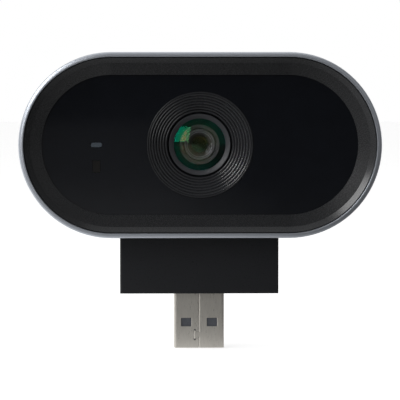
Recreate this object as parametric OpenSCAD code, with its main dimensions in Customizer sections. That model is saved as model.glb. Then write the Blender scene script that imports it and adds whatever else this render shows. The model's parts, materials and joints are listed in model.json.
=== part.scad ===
// A small video camera: a wide rounded head that tilts on a short neck with a USB-A plug.
// The origin is the middle of the neck's lower face, on the plug's axis.
// +X is to the right as seen from the front, +Z is up, and the lens looks along -Y.
// Lengths are in millimetres. Depths in the head are measured back from the plane of its rim.

/* [Head] */
// Width of the head
head_w = 86; // [82:0.5:100]
// Height of the head
head_h = 44; // [43:0.5:48]
// Depth of the head from the rim to the back
head_depth = 23; // [23:0.5:28]
// How far the plug's axis is behind the middle of the room in the head
neck_set = 1.15; // [1:0.05:1.5]
// Wall of the rear shell
shell_wall = 1.5; // [1.3:0.1:1.8]
// Width of the rim round the front
rim_w = 1.13; // [1:0.01:1.3]
// Rounding of the back edge
back_round = 3; // [2:0.25:4]

/* [Bezel] */
// Width of the bevel inside the rim
bevel_w = 1.25; // [0.8:0.05:1.5]
// Fall of the bevel over its width
bevel_drop = 1.2; // [0.6:0.05:1.3]
// Number of fine steps between the bevel and the window
step_count = 10; // [6:1:11]
// Tread of one step
step_tread = 0.275; // [0.2:0.005:0.3]
// Fall of one step
step_drop = 0.16; // [0.1:0.01:0.18]
// Thickness of the window
panel_t = 1.2; // [0.8:0.1:1.4]

/* [Lens] */
// Radius of the ridged cone at the window as a share of the head's height
funnel_share = 0.2864; // [0.278:0.001:0.295]
// Number of ridges in the cone
ridge_count = 7; // [5:1:9]
// Radius of the rounded lip round the front glass as a share of the cone's
barrel_share = 0.583; // [0.57:0.001:0.59]
// Radius of the front glass as a share of the cone's
glass_share = 0.492; // [0.47:0.001:0.5]
// Height of the curved face of the front glass
glass_dome = 1.4; // [0.8:0.1:1.6]

/* [Neck] */
// Width of the neck as a share of the head's
neck_share = 0.442; // [0.42:0.002:0.46]
// Thickness of the neck
neck_t = 10; // [9.6:0.1:10.4]
// Height of the neck below the head
neck_drop = 13.8; // [12:0.1:15]
// Wall of the neck
neck_wall = 1.6; // [1.4:0.1:1.8]
// Rounding of the neck's upright edges
neck_round = 0.7; // [0.4:0.1:1]

/* [Hinge] */
// Height of the tilt axis above the head's underside as a share of the head's height
hinge_share = 0.15; // [0.146:0.001:0.16]
// Tilt of the head downwards
tilt_down = 20; // [10:1:20]
// Tilt of the head upwards
tilt_up = 5; // [0:1:6]
// Gap between the neck and its pocket in the head
pocket_gap = 0.35; // [0.3:0.05:0.5]
// Radius of the hinge pin
pin_r = 1.5; // [1.3:0.1:1.6]
// Gap round the hinge pin and the trunnion
running_gap = 0.05; // [0.03:0.01:0.08]

/* [Plug] */
// Width of the plug's shell
plug_w = 12; // [11.9:0.05:12.1]
// Thickness of the plug's shell
plug_t = 4.5; // [4.4:0.05:4.6]
// Length of the plug below the neck
plug_l = 13.3; // [12:0.1:14]
// Sheet of the plug's shell
sheet_t = 0.3; // [0.25:0.05:0.35]

/* [Hidden] */
$fn = 96;

// Clearances and cuts
seat_gap = 0.05;
loose_gap = 0.15;
glue_t = 0.1;
tape_t = 0.2;
overrun = 1;

// Head
head_r = head_h / 2;
half_span = (head_w - head_h) / 2;
head_z = neck_drop + head_r;
neck_w = head_w * neck_share;
rim_r = head_r - rim_w;
shell_r = head_r - shell_wall;
back_d = head_depth - shell_wall;
inner_round = back_round / 2;

// Bezel and window, with radii measured from the head's middle line
bezel_gap = 0.07;
bezel_set = 0.8;
land_w = 0.2;
land_drop = 0.25;
bezel_lip = 0.4;
bezel_wall = 1;
panel_lap = 0.8;
bezel_r = rim_r - bezel_gap;
bevel_r = bezel_r - land_w - bevel_w;
step_d = bezel_set + bevel_drop;
view_r = bevel_r - step_count * step_tread;
lip_d = step_d + step_count * step_drop;
seat_d = lip_d + bezel_lip;
panel_r = view_r + panel_lap;
panel_d = seat_d + glue_t;
panel_back = panel_d + panel_t;
bezel_back = panel_back + loose_gap * 2;
skirt_r = bezel_r - bezel_wall;
ledge_d = bezel_back + tape_t;
ledge_t = 1;
ledge_r = bezel_r - bezel_wall * 1.4;

// Cone round the lens
funnel_r = head_h * funnel_share;
barrel_r = funnel_r * barrel_share;
glass_r = funnel_r * glass_share;
funnel_lip = 0.4;
funnel_proud = 0.15;
funnel_wall = 1;
flange_w = 2;
flange_t = 0.8;
cone_r = barrel_r + 0.3 * funnel_wall;
cone_top_d = panel_d + funnel_proud;
cone_drop = 3.1;
cone_d = cone_top_d + cone_drop;
ridge_pitch = (funnel_r - funnel_lip - cone_r) / ridge_count;
ridge_h = 0.35;
flange_d = panel_back + glue_t;
head_reach = (flange_d + flange_t + back_d) / 2 + neck_set;

// Hinge pocket, with the height of its top below the lens axis
hinge_rise = head_h * hinge_share;
hinge_z = neck_drop + hinge_rise;
neck_r = neck_t / 2;
pocket_r = neck_r + pocket_gap;
pocket_wall = 1.2;
pocket_half = neck_w / 2 + pocket_gap;
pocket_low = head_z - hinge_z - pocket_r - pocket_wall;

// Main board, between the lens and the back
back_share = 0.3;
board_d = head_depth * (1 - back_share);
board_t = 1.2;
board_back = board_d + board_t;
board_side = 12;
board_w = head_w - 2 * board_side;
top_room = 6.5;
board_top = head_r - top_room;
board_low = loose_gap * 2 - pocket_low;
screw_r = 0.8;
screw_head_r = 1.6;
screw_head_t = 0.8;
screw_l = 3.6;

// Lens stack, from the front to the sensor
lip_round = 0.55;
lip_front_d = cone_d - 0.2 * cone_drop;
glass_edge_d = lip_front_d + lip_round;
glass_t = 0.8;
baffle_d = glass_edge_d + glass_t;
flange_back_d = baffle_d + glass_t;
stack_l = board_d - baffle_d;
stack_shares = [0.1, 0.19, 0.025, 0.19, 0.1, 0.06];
ring_r = glass_r * 0.745;
ring_bore = ring_r * 0.79;
baffle_shares = [1, 0.93, 0.83, 0.54];
ring_t = stack_l * stack_shares[0];
lens_t = stack_l * stack_shares[1];
iris_t = stack_l * stack_shares[2];
iris_r = glass_r * 0.242;
bulge = lens_t * 0.267;
ring_d = baffle_d;
inner_lens_d = ring_d + ring_t;
iris_d = inner_lens_d + lens_t;
rear_lens_d = iris_d + iris_t;
retainer_d = rear_lens_d + stack_l * stack_shares[3];
retainer_t = stack_l * stack_shares[4];
barrel_back_d = retainer_d + retainer_t;
thread_r = glass_r - loose_gap;
filter_r = ring_r * 0.845;
filter_t = 0.3;
filter_gap = stack_l * stack_shares[5];
filter_d = barrel_back_d + filter_gap;
sensor_w = 7.2;
sensor_h = 6;
sensor_t = 1;
holder_wall = thread_r / 5;
holder_r = thread_r + seat_gap + holder_wall;
holder_gap = 1.35;
holder_w = 16;
holder_h = 2 * (pocket_low - holder_gap);
holder_base = 2.6;
holder_top_d = flange_back_d + filter_gap;
holder_base_d = board_d - holder_base;
ear_r = 2.1;
ear_x = holder_w / 2 + ear_r;
ear_t = 4;

// Posts and chips of the main board
post_set = 2.5;
post_x = board_w / 2 - post_set;
post_high = board_top - post_set;
post_r = 2.2;
chip = board_top * 0.645;
chip_t = 1;
chip_x = board_w * 0.21;
chip_z = board_top * 0.55;
spreader_t = 1.2;
pad_t = back_d - board_back - chip_t - spreader_t;
spreader_w = board_w * 0.42;
spreader_h = chip * 1.4;
can_low = 2;
can_w = 16;
can_h = post_high - can_low;
can_t = 1.7;
can_x = -chip_x;
can_z = can_low + can_h / 2;
can_sheet = 0.25;
cap_w = 1.6;
cap_h = 0.8;
cap_t = 0.8;
cap_count = 7;

// Status light, light sensor and microphones
light_set = 3.9;
light_x = light_set - post_x;
light_w = 2.6;
light_h = 1.05;
led_w = 3;
led_h = 1.6;
led_t = 0.7;
sense_z = board_low * 0.6;
sense_w = 1.8;
sense_h = 2.8;
sensor_chip = 3;
sensor_chip_t = 0.8;
mic_set = 3;
mic_x = half_span - mic_set;
cap_pitch = mic_x * 0.19;
mic_w = 3.5;
mic_h = 2.65;
mic_t = 1;
boot_w = 4.6;
boot_d = 3.6;
port_r = 0.5;
port_d = board_d - mic_t - boot_d / 2;

// Hinge
boss_r = 4.2;
boss_t = 1;
hinge_wall = pocket_wall + boss_t;
boss_x = pocket_half + hinge_wall;
bush_wall = 0.8;
washer_t = 0.5;
washer_r = 3.3;
spring_t = 0.4;
spring_r = 3;
nut_flats = 5.5;
nut_t = 2.2;
pin_end = 0.6;
collar_r = 2.6;
collar_t = 1.2;
tube_r = 2.4;
tube_bore = 1.6;
clip_t = 0.6;
clip_r = 3.4;
groove_t = 0.3;
tube_end = 1.2;
harness_x = boss_x + loose_gap + clip_t + tube_end;

// Neck
end_wall = 2;
neck_inside = neck_w / 2 - end_wall;
cavity_y = neck_r - neck_wall;
cavity_step = 0.4;
cavity_r = cavity_y - cavity_step;
cover_screw_x = neck_w / 3;
cover_boss_r = 1.7;
cover_screw_z = neck_wall + cover_boss_r + loose_gap;

// Plug, with heights measured up from its tip
shell_top = 5.5;
plug_round = 0.6;
tip_chamfer = 0.35;
window_w = 2.5;
window_h = 2.05;
window_x = 3.1;
window_rise = 6.2;
seam_w = 0.08;
seam_x = 0.1;
dovetail_rise = 3.17;
dovetail_l = 1.4;
dovetail_root = 1.3;
dovetail_head = 2.3;
relief_r = 0.24;
leg_w = 1.6;
leg_l = 2.6;
tongue_t = 1.95;
tongue_set = 0.3;
contact_t = 0.15;
tongue_face = tongue_t - (plug_t / 2 - sheet_t - seat_gap);
usb_board_y = tongue_face + contact_t / 2;
contact_w = 1;
contact_rises = [1.1, 2.1, 2.1, 1.1];
contact_shares = [-3.5 / 12, -1 / 12, 1 / 12, 3.5 / 12];
contact_top = 8;
usb_board_w = 2 * (neck_inside - end_wall);
usb_board_h = 9;
usb_board_t = 1;
usb_board_z = shell_top + glue_t;
usb_boss_x = usb_board_w / 2 - post_set;
usb_boss_r = 1.7;
usb_screw_r = 0.7;
usb_screw_head = 1.4;
usb_screw_l = 3.2;

// Wire connectors and harness
socket_w = 5;
socket_h = 3.4;
socket_t = 2.8;
socket_wall = 0.5;
plug_body_h = 2.4;
wire_r = 0.85;
wire_sides = 10;
wire_steps = 14;
wire_lead = 0.3;
head_socket_x = post_x - socket_t;
head_socket_z = head_z + board_low * 0.55;
post_low = head_socket_z - head_z + socket_h / 2 + screw_head_r + socket_wall;
neck_socket_x = usb_boss_x - usb_boss_r - socket_w * 0.86;
neck_socket_z = contact_top + overrun;

// Points of an arc
function arc(centre, r, from, to, steps) =
    [for (i = [0:steps])
        let (turn = from + (to - from) * i / steps)
        centre + r * [cos(turn), sin(turn)]];

// Sweeps a profile of radius and depth round the head's outline
module round_outline() {
    for (side = [-1, 1])
        translate([side * half_span, 0, 0])
            rotate([-90, 0, 0])
                rotate([0, 0, -90 * side])
                    rotate_extrude(angle = 180)
                        children();
    rotate([0, -90, 0])
        linear_extrude(2 * half_span, center = true) {
            children();
            mirror([1, 0])
                children();
        }
}

// Moves what is drawn by depth behind the rim to its place in the head
module in_head() {
    translate([0, -head_reach, head_z])
        children();
}

// Turns a profile of radius and depth about the lens axis
module about_lens() {
    rotate([-90, 0, 0])
        rotate_extrude()
            children();
}

// Extrudes a front view backwards from a depth
module plate(depth, thickness) {
    translate([0, depth + thickness, 0])
        rotate([90, 0, 0])
            linear_extrude(thickness)
                children();
}

// A box given by the middle of its front view, its size and its front depth
module box(x, z, depth, w, h, t) {
    translate([x - w / 2, depth, z - h / 2])
        cube([w, t, h]);
}

// A round rod along the depth
module rod(x, z, depth, r, t) {
    translate([x, depth, z])
        rotate([-90, 0, 0])
            cylinder(r = r, h = t);
}

// A flat view of the head's outline at a radius from its middle line
module outline_ring(outer, inner, depth, thickness) {
    round_outline()
        translate([inner, depth])
            square([outer - inner, thickness]);
}

// Turns a profile of radius and length about the tilt axis, from the middle to one side
module about_hinge(side) {
    translate([0, 0, hinge_z])
        mirror([side < 0 ? 1 : 0, 0, 0])
            rotate([90, 0, 90])
                rotate_extrude()
                    children();
}

// A rectangle with rounded corners
module round_rect(w, h, r) {
    square([w, h - 2 * r], center = true);
    square([w - 2 * r, h], center = true);
    for (x = [-1, 1], y = [-1, 1])
        translate([x * (w / 2 - r), y * (h / 2 - r)])
            circle(r, $fn = 48);
}

// A pan head screw that points back along +Y, with its seat at y = 0
module screw(r, length, head_r, head_t) {
    rotate([-90, 0, 0])
        cylinder(r = r, h = length, $fn = 32);
    difference() {
        rotate([90, 0, 0])
            cylinder(r = head_r, h = head_t, $fn = 32);
        translate([0, -head_t, 0])
            rotate([90, 0, 0])
                translate([0, 0, -head_t / 2])
                    cylinder(r = head_r * 0.4, h = head_t, $fn = 6);
    }
}

// A round tube along smooth points, each ring square to the path, which stays upright
function bezier(p, t) =
    pow(1 - t, 3) * p[0] + 3 * t * pow(1 - t, 2) * p[1] + 3 * t * t * (1 - t) * p[2] + pow(t, 3) * p[3];

function unit(v) = v / norm(v);

// Points from one end to the other, with a short straight lead at each, and how far each end pulls
function led_curve(a, a_way, b, b_way, a_pull, b_pull) =
    let (from = a + wire_lead * a_way,
        to = b + wire_lead * b_way)
    concat(
        [a],
        [for (i = [0:wire_steps])
            bezier([from, from + a_pull * a_way, to + b_pull * b_way, to], i / wire_steps)],
        [b]);

function ring(path, i, r) =
    let (last = len(path) - 1,
        ahead = unit(path[min(i + 1, last)] - path[max(i - 1, 0)]),
        aside = unit(cross(ahead, [0, 1, 0])),
        up = cross(aside, ahead))
    [for (k = [0:wire_sides - 1])
        let (turn = 360 * k / wire_sides)
        path[i] + r * (cos(turn) * aside + sin(turn) * up)];

module wire(path, r) {
    last = len(path) - 1;
    points = [for (i = [0:last]) each ring(path, i, r)];
    sides = [for (i = [0:last - 1], k = [0:wire_sides - 1])
        let (a = i * wire_sides + k,
            b = i * wire_sides + (k + 1) % wire_sides)
        each [[a, b, b + wire_sides], [a, b + wire_sides, a + wire_sides]]];
    front = [for (k = [1:wire_sides - 2]) [0, k + 1, k]];
    back = [for (k = [1:wire_sides - 2]) last * wire_sides * [1, 1, 1] + [0, k, k + 1]];
    polyhedron(points, concat(sides, front, back));
}

// Profile of the rear shell from its front edge round to the middle of its back
module shell_profile() {
    lip = rim_w / 2;
    slope = shell_r - ledge_r;
    polygon(concat(
        [[0, back_d]],
        arc([shell_r - inner_round, back_d - inner_round], inner_round, 90, 0, 4),
        [[shell_r, ledge_d + ledge_t + slope], [ledge_r, ledge_d + ledge_t], [ledge_r, ledge_d],
            [rim_r, ledge_d]],
        arc([head_r - lip, lip], lip, 180, 360, 8),
        arc([head_r - back_round, head_depth - back_round], back_round, 0, 90, 8),
        [[0, head_depth]]));
}

// The space that the neck takes in the head over its whole tilt, grown by a wall
module neck_sweep(grow, half) {
    r = pocket_r + grow;
    rear = [cos(tilt_up), sin(tilt_up)];
    front = [-cos(tilt_down), sin(tilt_down)];
    translate([-half, 0, hinge_z])
        rotate([90, 0, 90])
            linear_extrude(2 * half)
                polygon(concat(
                    arc([0, 0], r, tilt_up, 180 - tilt_down, 24),
                    [r * front + head_r * [-front[1], front[0]], r * rear + head_r * [rear[1], -rear[0]]]));
}

module rear_shell() color("silver") {
    difference() {
        union() {
            in_head()
                round_outline()
                    shell_profile();
            intersection() {
                union() {
                    neck_sweep(pocket_wall, pocket_half + pocket_wall);
                    for (side = [-1, 1])
                        about_hinge(side)
                            translate([0, pocket_half])
                                square([boss_r, hinge_wall]);
                }
                in_head()
                    round_outline()
                        translate([0, ledge_d])
                            square([head_r - shell_wall / 2, head_depth - ledge_d - shell_wall / 2]);
            }
            in_head()
                for (x = [-post_x, post_x], z = [post_low, post_high])
                    rod(x, z, board_back, post_r, head_depth - board_back - shell_wall / 2);
        }
        neck_sweep(0, pocket_half);
        about_hinge(-1)
            translate([0, pocket_half - overrun])
                square([pin_r + running_gap + bush_wall + seat_gap, hinge_wall + 2 * overrun]);
        about_hinge(1)
            translate([0, pocket_half - overrun])
                square([tube_r + running_gap + bush_wall + seat_gap, hinge_wall + 2 * overrun]);
        in_head() {
            for (x = [-post_x, post_x], z = [post_low, post_high])
                rod(x, z, board_back - overrun, screw_r + seat_gap, overrun + screw_l);
            for (x = [-mic_x, mic_x])
                translate([x, port_d, shell_r - overrun])
                    cylinder(r = port_r, h = shell_wall + 2 * overrun, $fn = 24);
        }
    }
}

module bezel_gasket() color("dimgray")
    in_head()
        outline_ring(bezel_r - loose_gap, ledge_r + loose_gap, bezel_back, tape_t);

// A matte ring: a bevel, then fine steps down to the window, over a seat for the window
module bezel() color([0.12, 0.12, 0.13]) {
    steps = [for (i = [0:step_count - 1])
        let (r = bevel_r - i * step_tread,
            d = step_d + (i + 1) * step_drop)
        each [[r, d], [r - step_tread, d]]];
    seat_r = panel_r + loose_gap;
    in_head()
        round_outline()
            polygon(concat(
                [[bezel_r, bezel_back], [bezel_r, bezel_set + land_drop],
                    [bezel_r - land_w, bezel_set + land_drop], [bezel_r - land_w, bezel_set],
                    [bevel_r, step_d]],
                steps,
                [[view_r, seat_d], [seat_r, seat_d], [seat_r, panel_back],
                    [seat_r + bezel_wall, panel_back], [seat_r + bezel_wall, seat_d],
                    [skirt_r - bezel_wall, seat_d - bevel_drop / 2],
                    [skirt_r - bezel_wall * 0.4, bezel_back]]));
}

module panel_adhesive() color("gray")
    in_head()
        outline_ring(panel_r, view_r + panel_lap / 4, seat_d, glue_t);

// The flat window, with its hole for the cone and the slots for the two light guides
module window_panel() color([0.06, 0.06, 0.07])
    in_head()
        difference() {
            round_outline()
                translate([0, panel_d])
                    square([panel_r, panel_t]);
            rod(0, 0, panel_d - overrun, funnel_r + seat_gap, panel_t + 2 * overrun);
            plate(panel_d - overrun, panel_t + 2 * overrun)
                translate([light_x, 0])
                    round_rect(light_w + seat_gap * 2, light_h + seat_gap * 2, light_h / 2 - seat_gap);
            box(light_x, sense_z, panel_d - overrun, sense_w + seat_gap * 2, sense_h + seat_gap * 2,
                panel_t + 2 * overrun);
        }

module funnel_adhesive() color("gray")
    in_head()
        about_lens()
            translate([funnel_r + funnel_wall / 2, panel_back])
                square([flange_w - funnel_wall, glue_t]);

// Depth of the cone's slope at a radius
function slope_d(r) = cone_d - cone_drop * (r - cone_r) / (ridge_count * ridge_pitch);

// The cone round the lens, with a ridge at each step of its slope
module lens_funnel() color([0.1, 0.1, 0.11]) {
    ridges = [for (i = [0:ridge_count - 1])
        let (r = cone_r + i * ridge_pitch)
        each [[r, slope_d(r)], [r + ridge_pitch * 0.45, slope_d(r) - ridge_h],
            [r + ridge_pitch * 0.7, slope_d(r) - ridge_h]]];
    in_head()
        about_lens()
            polygon(concat(
                [[cone_r, flange_back_d]],
                ridges,
                [[funnel_r - funnel_lip, cone_top_d], [funnel_r - funnel_lip, panel_d - funnel_proud],
                    [funnel_r, panel_d - funnel_proud], [funnel_r, flange_d],
                    [funnel_r + flange_w, flange_d], [funnel_r + flange_w, flange_d + flange_t],
                    [funnel_r, flange_d + flange_t], [cone_r + funnel_wall, cone_d + funnel_wall],
                    [cone_r + funnel_wall, flange_back_d]]));
}

// The barrel, with its rounded lip, the seat of the front glass and the bore of the lens stack
module lens_barrel() color([0.14, 0.14, 0.15]) {
    in_head()
        about_lens()
            polygon(concat(
                [[glass_r, baffle_d], [glass_r, glass_edge_d]],
                arc([barrel_r - lip_round, lip_front_d + lip_round], lip_round, 180, 360, 8),
                [[barrel_r, flange_back_d], [thread_r, flange_back_d], [thread_r, barrel_back_d],
                    [ring_r - ring_t, barrel_back_d], [ring_r - ring_t, barrel_back_d - glue_t],
                    [ring_r + seat_gap, barrel_back_d - glue_t], [ring_r + seat_gap, baffle_d]]));
}

// Radius of the sphere whose cap has this half width and height
function cap_radius(half, height) = (half * half + height * height) / (2 * height);

// A lens of an edge thickness, with a bulge forwards and another backwards
module lens(r, depth, thickness, front, back) {
    front_r = cap_radius(r, front);
    back_r = cap_radius(r, back);
    about_lens()
        polygon(concat(
            [for (i = [0:6]) let (x = r * i / 6)
                [x, depth - sqrt(front_r * front_r - x * x) + front_r - front]],
            [for (i = [0:6]) let (x = r * (1 - i / 6))
                [x, depth + thickness + sqrt(back_r * back_r - x * x) - back_r + back]]));
}

// The front glass is a meniscus: its back is hollowed to follow the dome
module front_lens() color([0.2, 0.35, 0.35, 0.6])
    in_head()
        difference() {
            lens_r = glass_r - seat_gap;
            dome_r = cap_radius(lens_r, glass_dome);
            hollow_r = cap_radius(ring_r, glass_dome / 2);
            intersection() {
                rod(0, 0, glass_edge_d - glass_dome, lens_r, glass_dome + glass_t);
                translate([0, glass_edge_d - glass_dome + dome_r, 0])
                    sphere(dome_r);
            }
            translate([0, baffle_d - glass_dome / 2 + hollow_r, 0])
                sphere(hollow_r);
        }

module lens_ring() color([0.35, 0.35, 0.36])
    in_head()
        about_lens()
            polygon([[ring_r, ring_d], [ring_r, ring_d + ring_t],
                [ring_bore - glue_t, ring_d + ring_t], [ring_bore, ring_d]]);

// A stepped cone in the bore of the ring, which catches stray light in front of the inner lens
module lens_baffle() color([0.4, 0.4, 0.41]) {
    r = ring_bore - glue_t - seat_gap;
    step = ring_t / 4;
    back = ring_d + ring_t;
    in_head()
        about_lens()
            polygon(concat(
                [[r, back]],
                [for (i = [0:2])
                    each [[r * baffle_shares[i], ring_d + i * step + seat_gap],
                        [r * baffle_shares[i + 1], ring_d + i * step + (i < 2 ? seat_gap : step * 1.5)]]],
                [[r * baffle_shares[3], back]]));
}

module inner_lens() color([0.3, 0.4, 0.45, 0.6])
    in_head()
        lens(ring_r, inner_lens_d + bulge, lens_t - bulge * 1.5, bulge, bulge / 2);

module iris() color("black")
    in_head()
        about_lens()
            translate([iris_r, iris_d])
                square([ring_r - iris_r, iris_t]);

module rear_lens() color([0.3, 0.4, 0.45, 0.6])
    in_head()
        lens(ring_r, rear_lens_d + bulge, lens_t - bulge * 2, bulge, bulge);

module lens_retainer() color([0.14, 0.14, 0.15])
    in_head()
        about_lens()
            translate([ring_bore, retainer_d])
                square([ring_r - ring_bore, retainer_t - glue_t]);

// The holder: a tube round the barrel on a base that covers the sensor
module lens_holder() color([0.16, 0.16, 0.17])
    in_head()
        difference() {
            union() {
                rod(0, 0, holder_top_d, holder_r, board_d - holder_top_d);
                box(0, 0, holder_base_d, holder_w, holder_h, holder_base);
                for (x = [-ear_x, ear_x]) {
                    rod(x, 0, board_d - ear_t, ear_r, ear_t);
                    box(x / 2 + sign(x) * holder_w / 4, 0, holder_base_d, ear_r, ear_r * 2, holder_base);
                }
            }
            rod(0, 0, holder_top_d - overrun, thread_r + seat_gap, barrel_back_d + filter_gap / 2 -
                holder_top_d + overrun);
            rod(0, 0, filter_d - filter_gap, filter_r + seat_gap, filter_t / 2 + filter_gap);
            box(0, 0, filter_d + filter_t / 2, sensor_w + loose_gap * 2, sensor_h + loose_gap * 2,
                board_d - filter_d);
            for (x = [-ear_x, ear_x])
                rod(x, 0, board_d - screw_l + board_t, screw_r + seat_gap, screw_l);
        }

module holder_screws() color("lightgray")
    in_head()
        for (x = [-ear_x, ear_x])
            translate([x, board_back, 0])
                mirror([0, 1, 0])
                    screw(screw_r, screw_l, screw_head_r, screw_head_t);

module ir_filter() color([0.5, 0.2, 0.25, 0.5])
    in_head()
        rod(0, 0, filter_d - filter_t / 2, filter_r, filter_t);

module image_sensor() color([0.25, 0.25, 0.3])
    in_head()
        difference() {
            box(0, 0, board_d - sensor_t, sensor_w, sensor_h, sensor_t);
            box(0, 0, board_d - sensor_t - overrun, sensor_w * 0.8, sensor_h * 0.8, overrun + sensor_t / 4);
        }

module main_board() color("darkgreen")
    in_head()
        difference() {
            plate(board_d, board_t)
                translate([0, (board_top + board_low) / 2])
                    round_rect(board_w, board_top - board_low, screw_r);
            for (x = [-post_x, post_x], z = [post_low, post_high])
                rod(x, z, board_d - overrun, screw_r + loose_gap, board_t + 2 * overrun);
            for (x = [-ear_x, ear_x])
                rod(x, 0, board_d - overrun, screw_r + loose_gap, board_t + 2 * overrun);
        }

module board_screws() color("lightgray")
    in_head()
        for (x = [-post_x, post_x], z = [post_low, post_high])
            translate([x, board_d, z])
                screw(screw_r, screw_l, screw_head_r, screw_head_t);

// Capacitors in a row on the front of the board, and a crystal and a coil on its back
module board_parts() color("tan")
    in_head() {
        row_w = cap_pitch * (cap_count - 1);
        for (i = [0:cap_count - 1])
            box(i * cap_pitch - row_w / 2, board_top - cap_w, board_d - cap_t, cap_w, cap_h, cap_t);
        box(chip_x - chip * 0.8, chip_z - chip * 0.1, board_back, cap_w, cap_w * 2, cap_t);
        box(chip_x + chip * 0.75, chip_z - chip * 0.2, board_back, cap_w * 2, cap_w * 2, cap_t * 2);
    }

module image_processor() color([0.1, 0.1, 0.1])
    in_head()
        box(chip_x, chip_z, board_back, chip, chip, chip_t);

// A folded can, open towards the board
module shield_can() color("silver")
    in_head()
        difference() {
            box(can_x, can_z, board_back, can_w, can_h, can_t);
            box(can_x, can_z, board_back - overrun, can_w - can_sheet * 2, can_h - can_sheet * 2,
                can_t + overrun - can_sheet);
        }

module thermal_pad() color("lightblue")
    in_head()
        box(chip_x, chip_z, board_back + chip_t, chip, chip, pad_t);

// A plate glued to the back wall, over the processor's pad
module heat_spreader() color("gainsboro")
    in_head()
        box(chip_x - chip / 4, chip_z - chip / 10, back_d - spreader_t, spreader_w, spreader_h, spreader_t);

module status_led() color("white")
    in_head()
        box(light_x, 0, board_d - led_t, led_w, led_h, led_t);

module light_pipe() color([0.5, 0.6, 0.65, 0.7])
    in_head()
        plate(panel_d, board_d - led_t - panel_d)
            translate([light_x, 0])
                round_rect(light_w, light_h, light_h / 2 - seat_gap);

module light_sensor() color([0.15, 0.15, 0.15])
    in_head()
        box(light_x, sense_z, board_d - sensor_chip_t, sensor_chip, sensor_chip, sensor_chip_t);

module sensor_guide() color([0.25, 0.22, 0.12, 0.7])
    in_head()
        box(light_x, sense_z, panel_d, sense_w, sense_h, board_d - sensor_chip_t - panel_d);

module microphones() color("gold")
    in_head()
        for (x = [-mic_x, mic_x])
            box(x, board_top - mic_h, board_d - mic_t, mic_w, mic_h, mic_t);

// Rubber ducts that lead from the ports in the top wall down to the microphones
module mic_boots() color([0.2, 0.2, 0.2])
    in_head()
        for (x = [-mic_x, mic_x]) {
            low = board_top - mic_h * 1.5;
            difference() {
                translate([x - boot_w / 2, board_d - mic_t - boot_d, low])
                    cube([boot_w, boot_d, shell_r - low]);
                translate([x, port_d, board_top - mic_h])
                    cylinder(r = port_r, h = shell_r, $fn = 24);
                rod(x, board_top - mic_h, port_d, port_r, boot_d);
            }
        }

// A connector body with a pocket that opens towards +Z or -Z, and the plug that fills it
module socket_body(x, z, depth, side) {
    difference() {
        box(x, z, depth, socket_w, socket_h, socket_t);
        translate([0, 0, side * socket_h / 2])
            box(x, z, depth + socket_wall, socket_w - socket_wall * 2, plug_body_h * 2,
                socket_t - socket_wall * 2);
    }
}

module plug_body(x, z, depth, side) {
    rim = socket_wall + seat_gap;
    translate([0, 0, side * (socket_h - plug_body_h) / 2])
        box(x, z, depth + rim, socket_w - rim * 2, plug_body_h, socket_t - rim * 2);
}

module harness_socket() color("ivory")
    translate([0, -head_reach, 0])
        socket_body(head_socket_x, head_socket_z, board_d - socket_t, -1);

module harness_plug() color("white")
    translate([0, -head_reach, 0])
        plug_body(head_socket_x, head_socket_z, board_d - socket_t, -1);

module head_harness() color([0.1, 0.1, 0.1]) {
    foot = [harness_x, 0, hinge_z];
    top = [head_socket_x, board_d - socket_t / 2 - head_reach, head_socket_z - socket_h / 2];
    bend = (top[2] - foot[2]) / 2;
    wire(led_curve(foot, [1, 0, 0], top, [0, 0, -1], bend, bend * 1.5), wire_r);
}

// The hinge pin, fixed in the neck's left wall, with its collar inside
module hinge_pin() color("gray")
    about_hinge(-1) {
        tip = boss_x + washer_t + 2 * spring_t + nut_t + pin_end;
        translate([0, neck_inside - collar_t])
            square([collar_r, collar_t]);
        translate([0, neck_inside])
            square([pin_r, tip - neck_inside]);
    }

module hinge_bush() color("goldenrod")
    about_hinge(-1)
        translate([pin_r + running_gap, pocket_half])
            square([bush_wall, hinge_wall]);

module friction_washer() color("white")
    about_hinge(-1)
        translate([pin_r + running_gap, boss_x])
            square([washer_r - pin_r - running_gap, washer_t]);

// Two dished springs, rim to rim
module spring_washers() color("slategray")
    about_hinge(-1) {
        first = boss_x + washer_t;
        inner = pin_r + running_gap;
        dish = spring_t / 2;
        polygon([[inner, first + dish], [spring_r, first], [spring_r, first + dish],
            [inner, first + spring_t]]);
        polygon([[inner, first + spring_t], [spring_r, first + spring_t + dish],
            [spring_r, first + 2 * spring_t], [inner, first + spring_t + dish]]);
    }

module hinge_nut() color("lightgray")
    translate([-boss_x - washer_t - 2 * spring_t - nut_t, 0, hinge_z])
        rotate([0, 90, 0])
            difference() {
                cylinder(d = nut_flats / cos(30), h = nut_t, $fn = 6);
                translate([0, 0, -overrun])
                    cylinder(r = pin_r, h = nut_t + 2 * overrun);
            }

// The hollow pin on the right, which the harness passes through
module trunnion() color("gray")
    about_hinge(1) {
        clip_x = boss_x + loose_gap;
        polygon([[tube_bore, neck_inside - collar_t], [cavity_r - seat_gap * 2, neck_inside - collar_t],
            [cavity_r - seat_gap * 2, neck_inside], [tube_r, neck_inside], [tube_r, clip_x],
            [tube_r - groove_t, clip_x], [tube_r - groove_t, clip_x + clip_t],
            [tube_r, clip_x + clip_t], [tube_r, clip_x + clip_t + tube_end],
            [tube_bore, clip_x + clip_t + tube_end]]);
    }

module trunnion_bush() color("goldenrod")
    about_hinge(1)
        translate([tube_r + running_gap, pocket_half])
            square([bush_wall, hinge_wall]);

// A spring clip, open on one side
module trunnion_clip() color("lightgray")
    translate([boss_x + loose_gap, 0, hinge_z])
        rotate([0, 90, 0])
            difference() {
                cylinder(r = clip_r, h = clip_t);
                translate([0, 0, -overrun])
                    cylinder(r = tube_r - groove_t, h = clip_t + 2 * overrun);
                translate([-clip_r * 2, -clip_r / 3, -overrun])
                    cube([clip_r * 2, clip_r / 1.5, clip_t + 2 * overrun]);
            }

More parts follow.
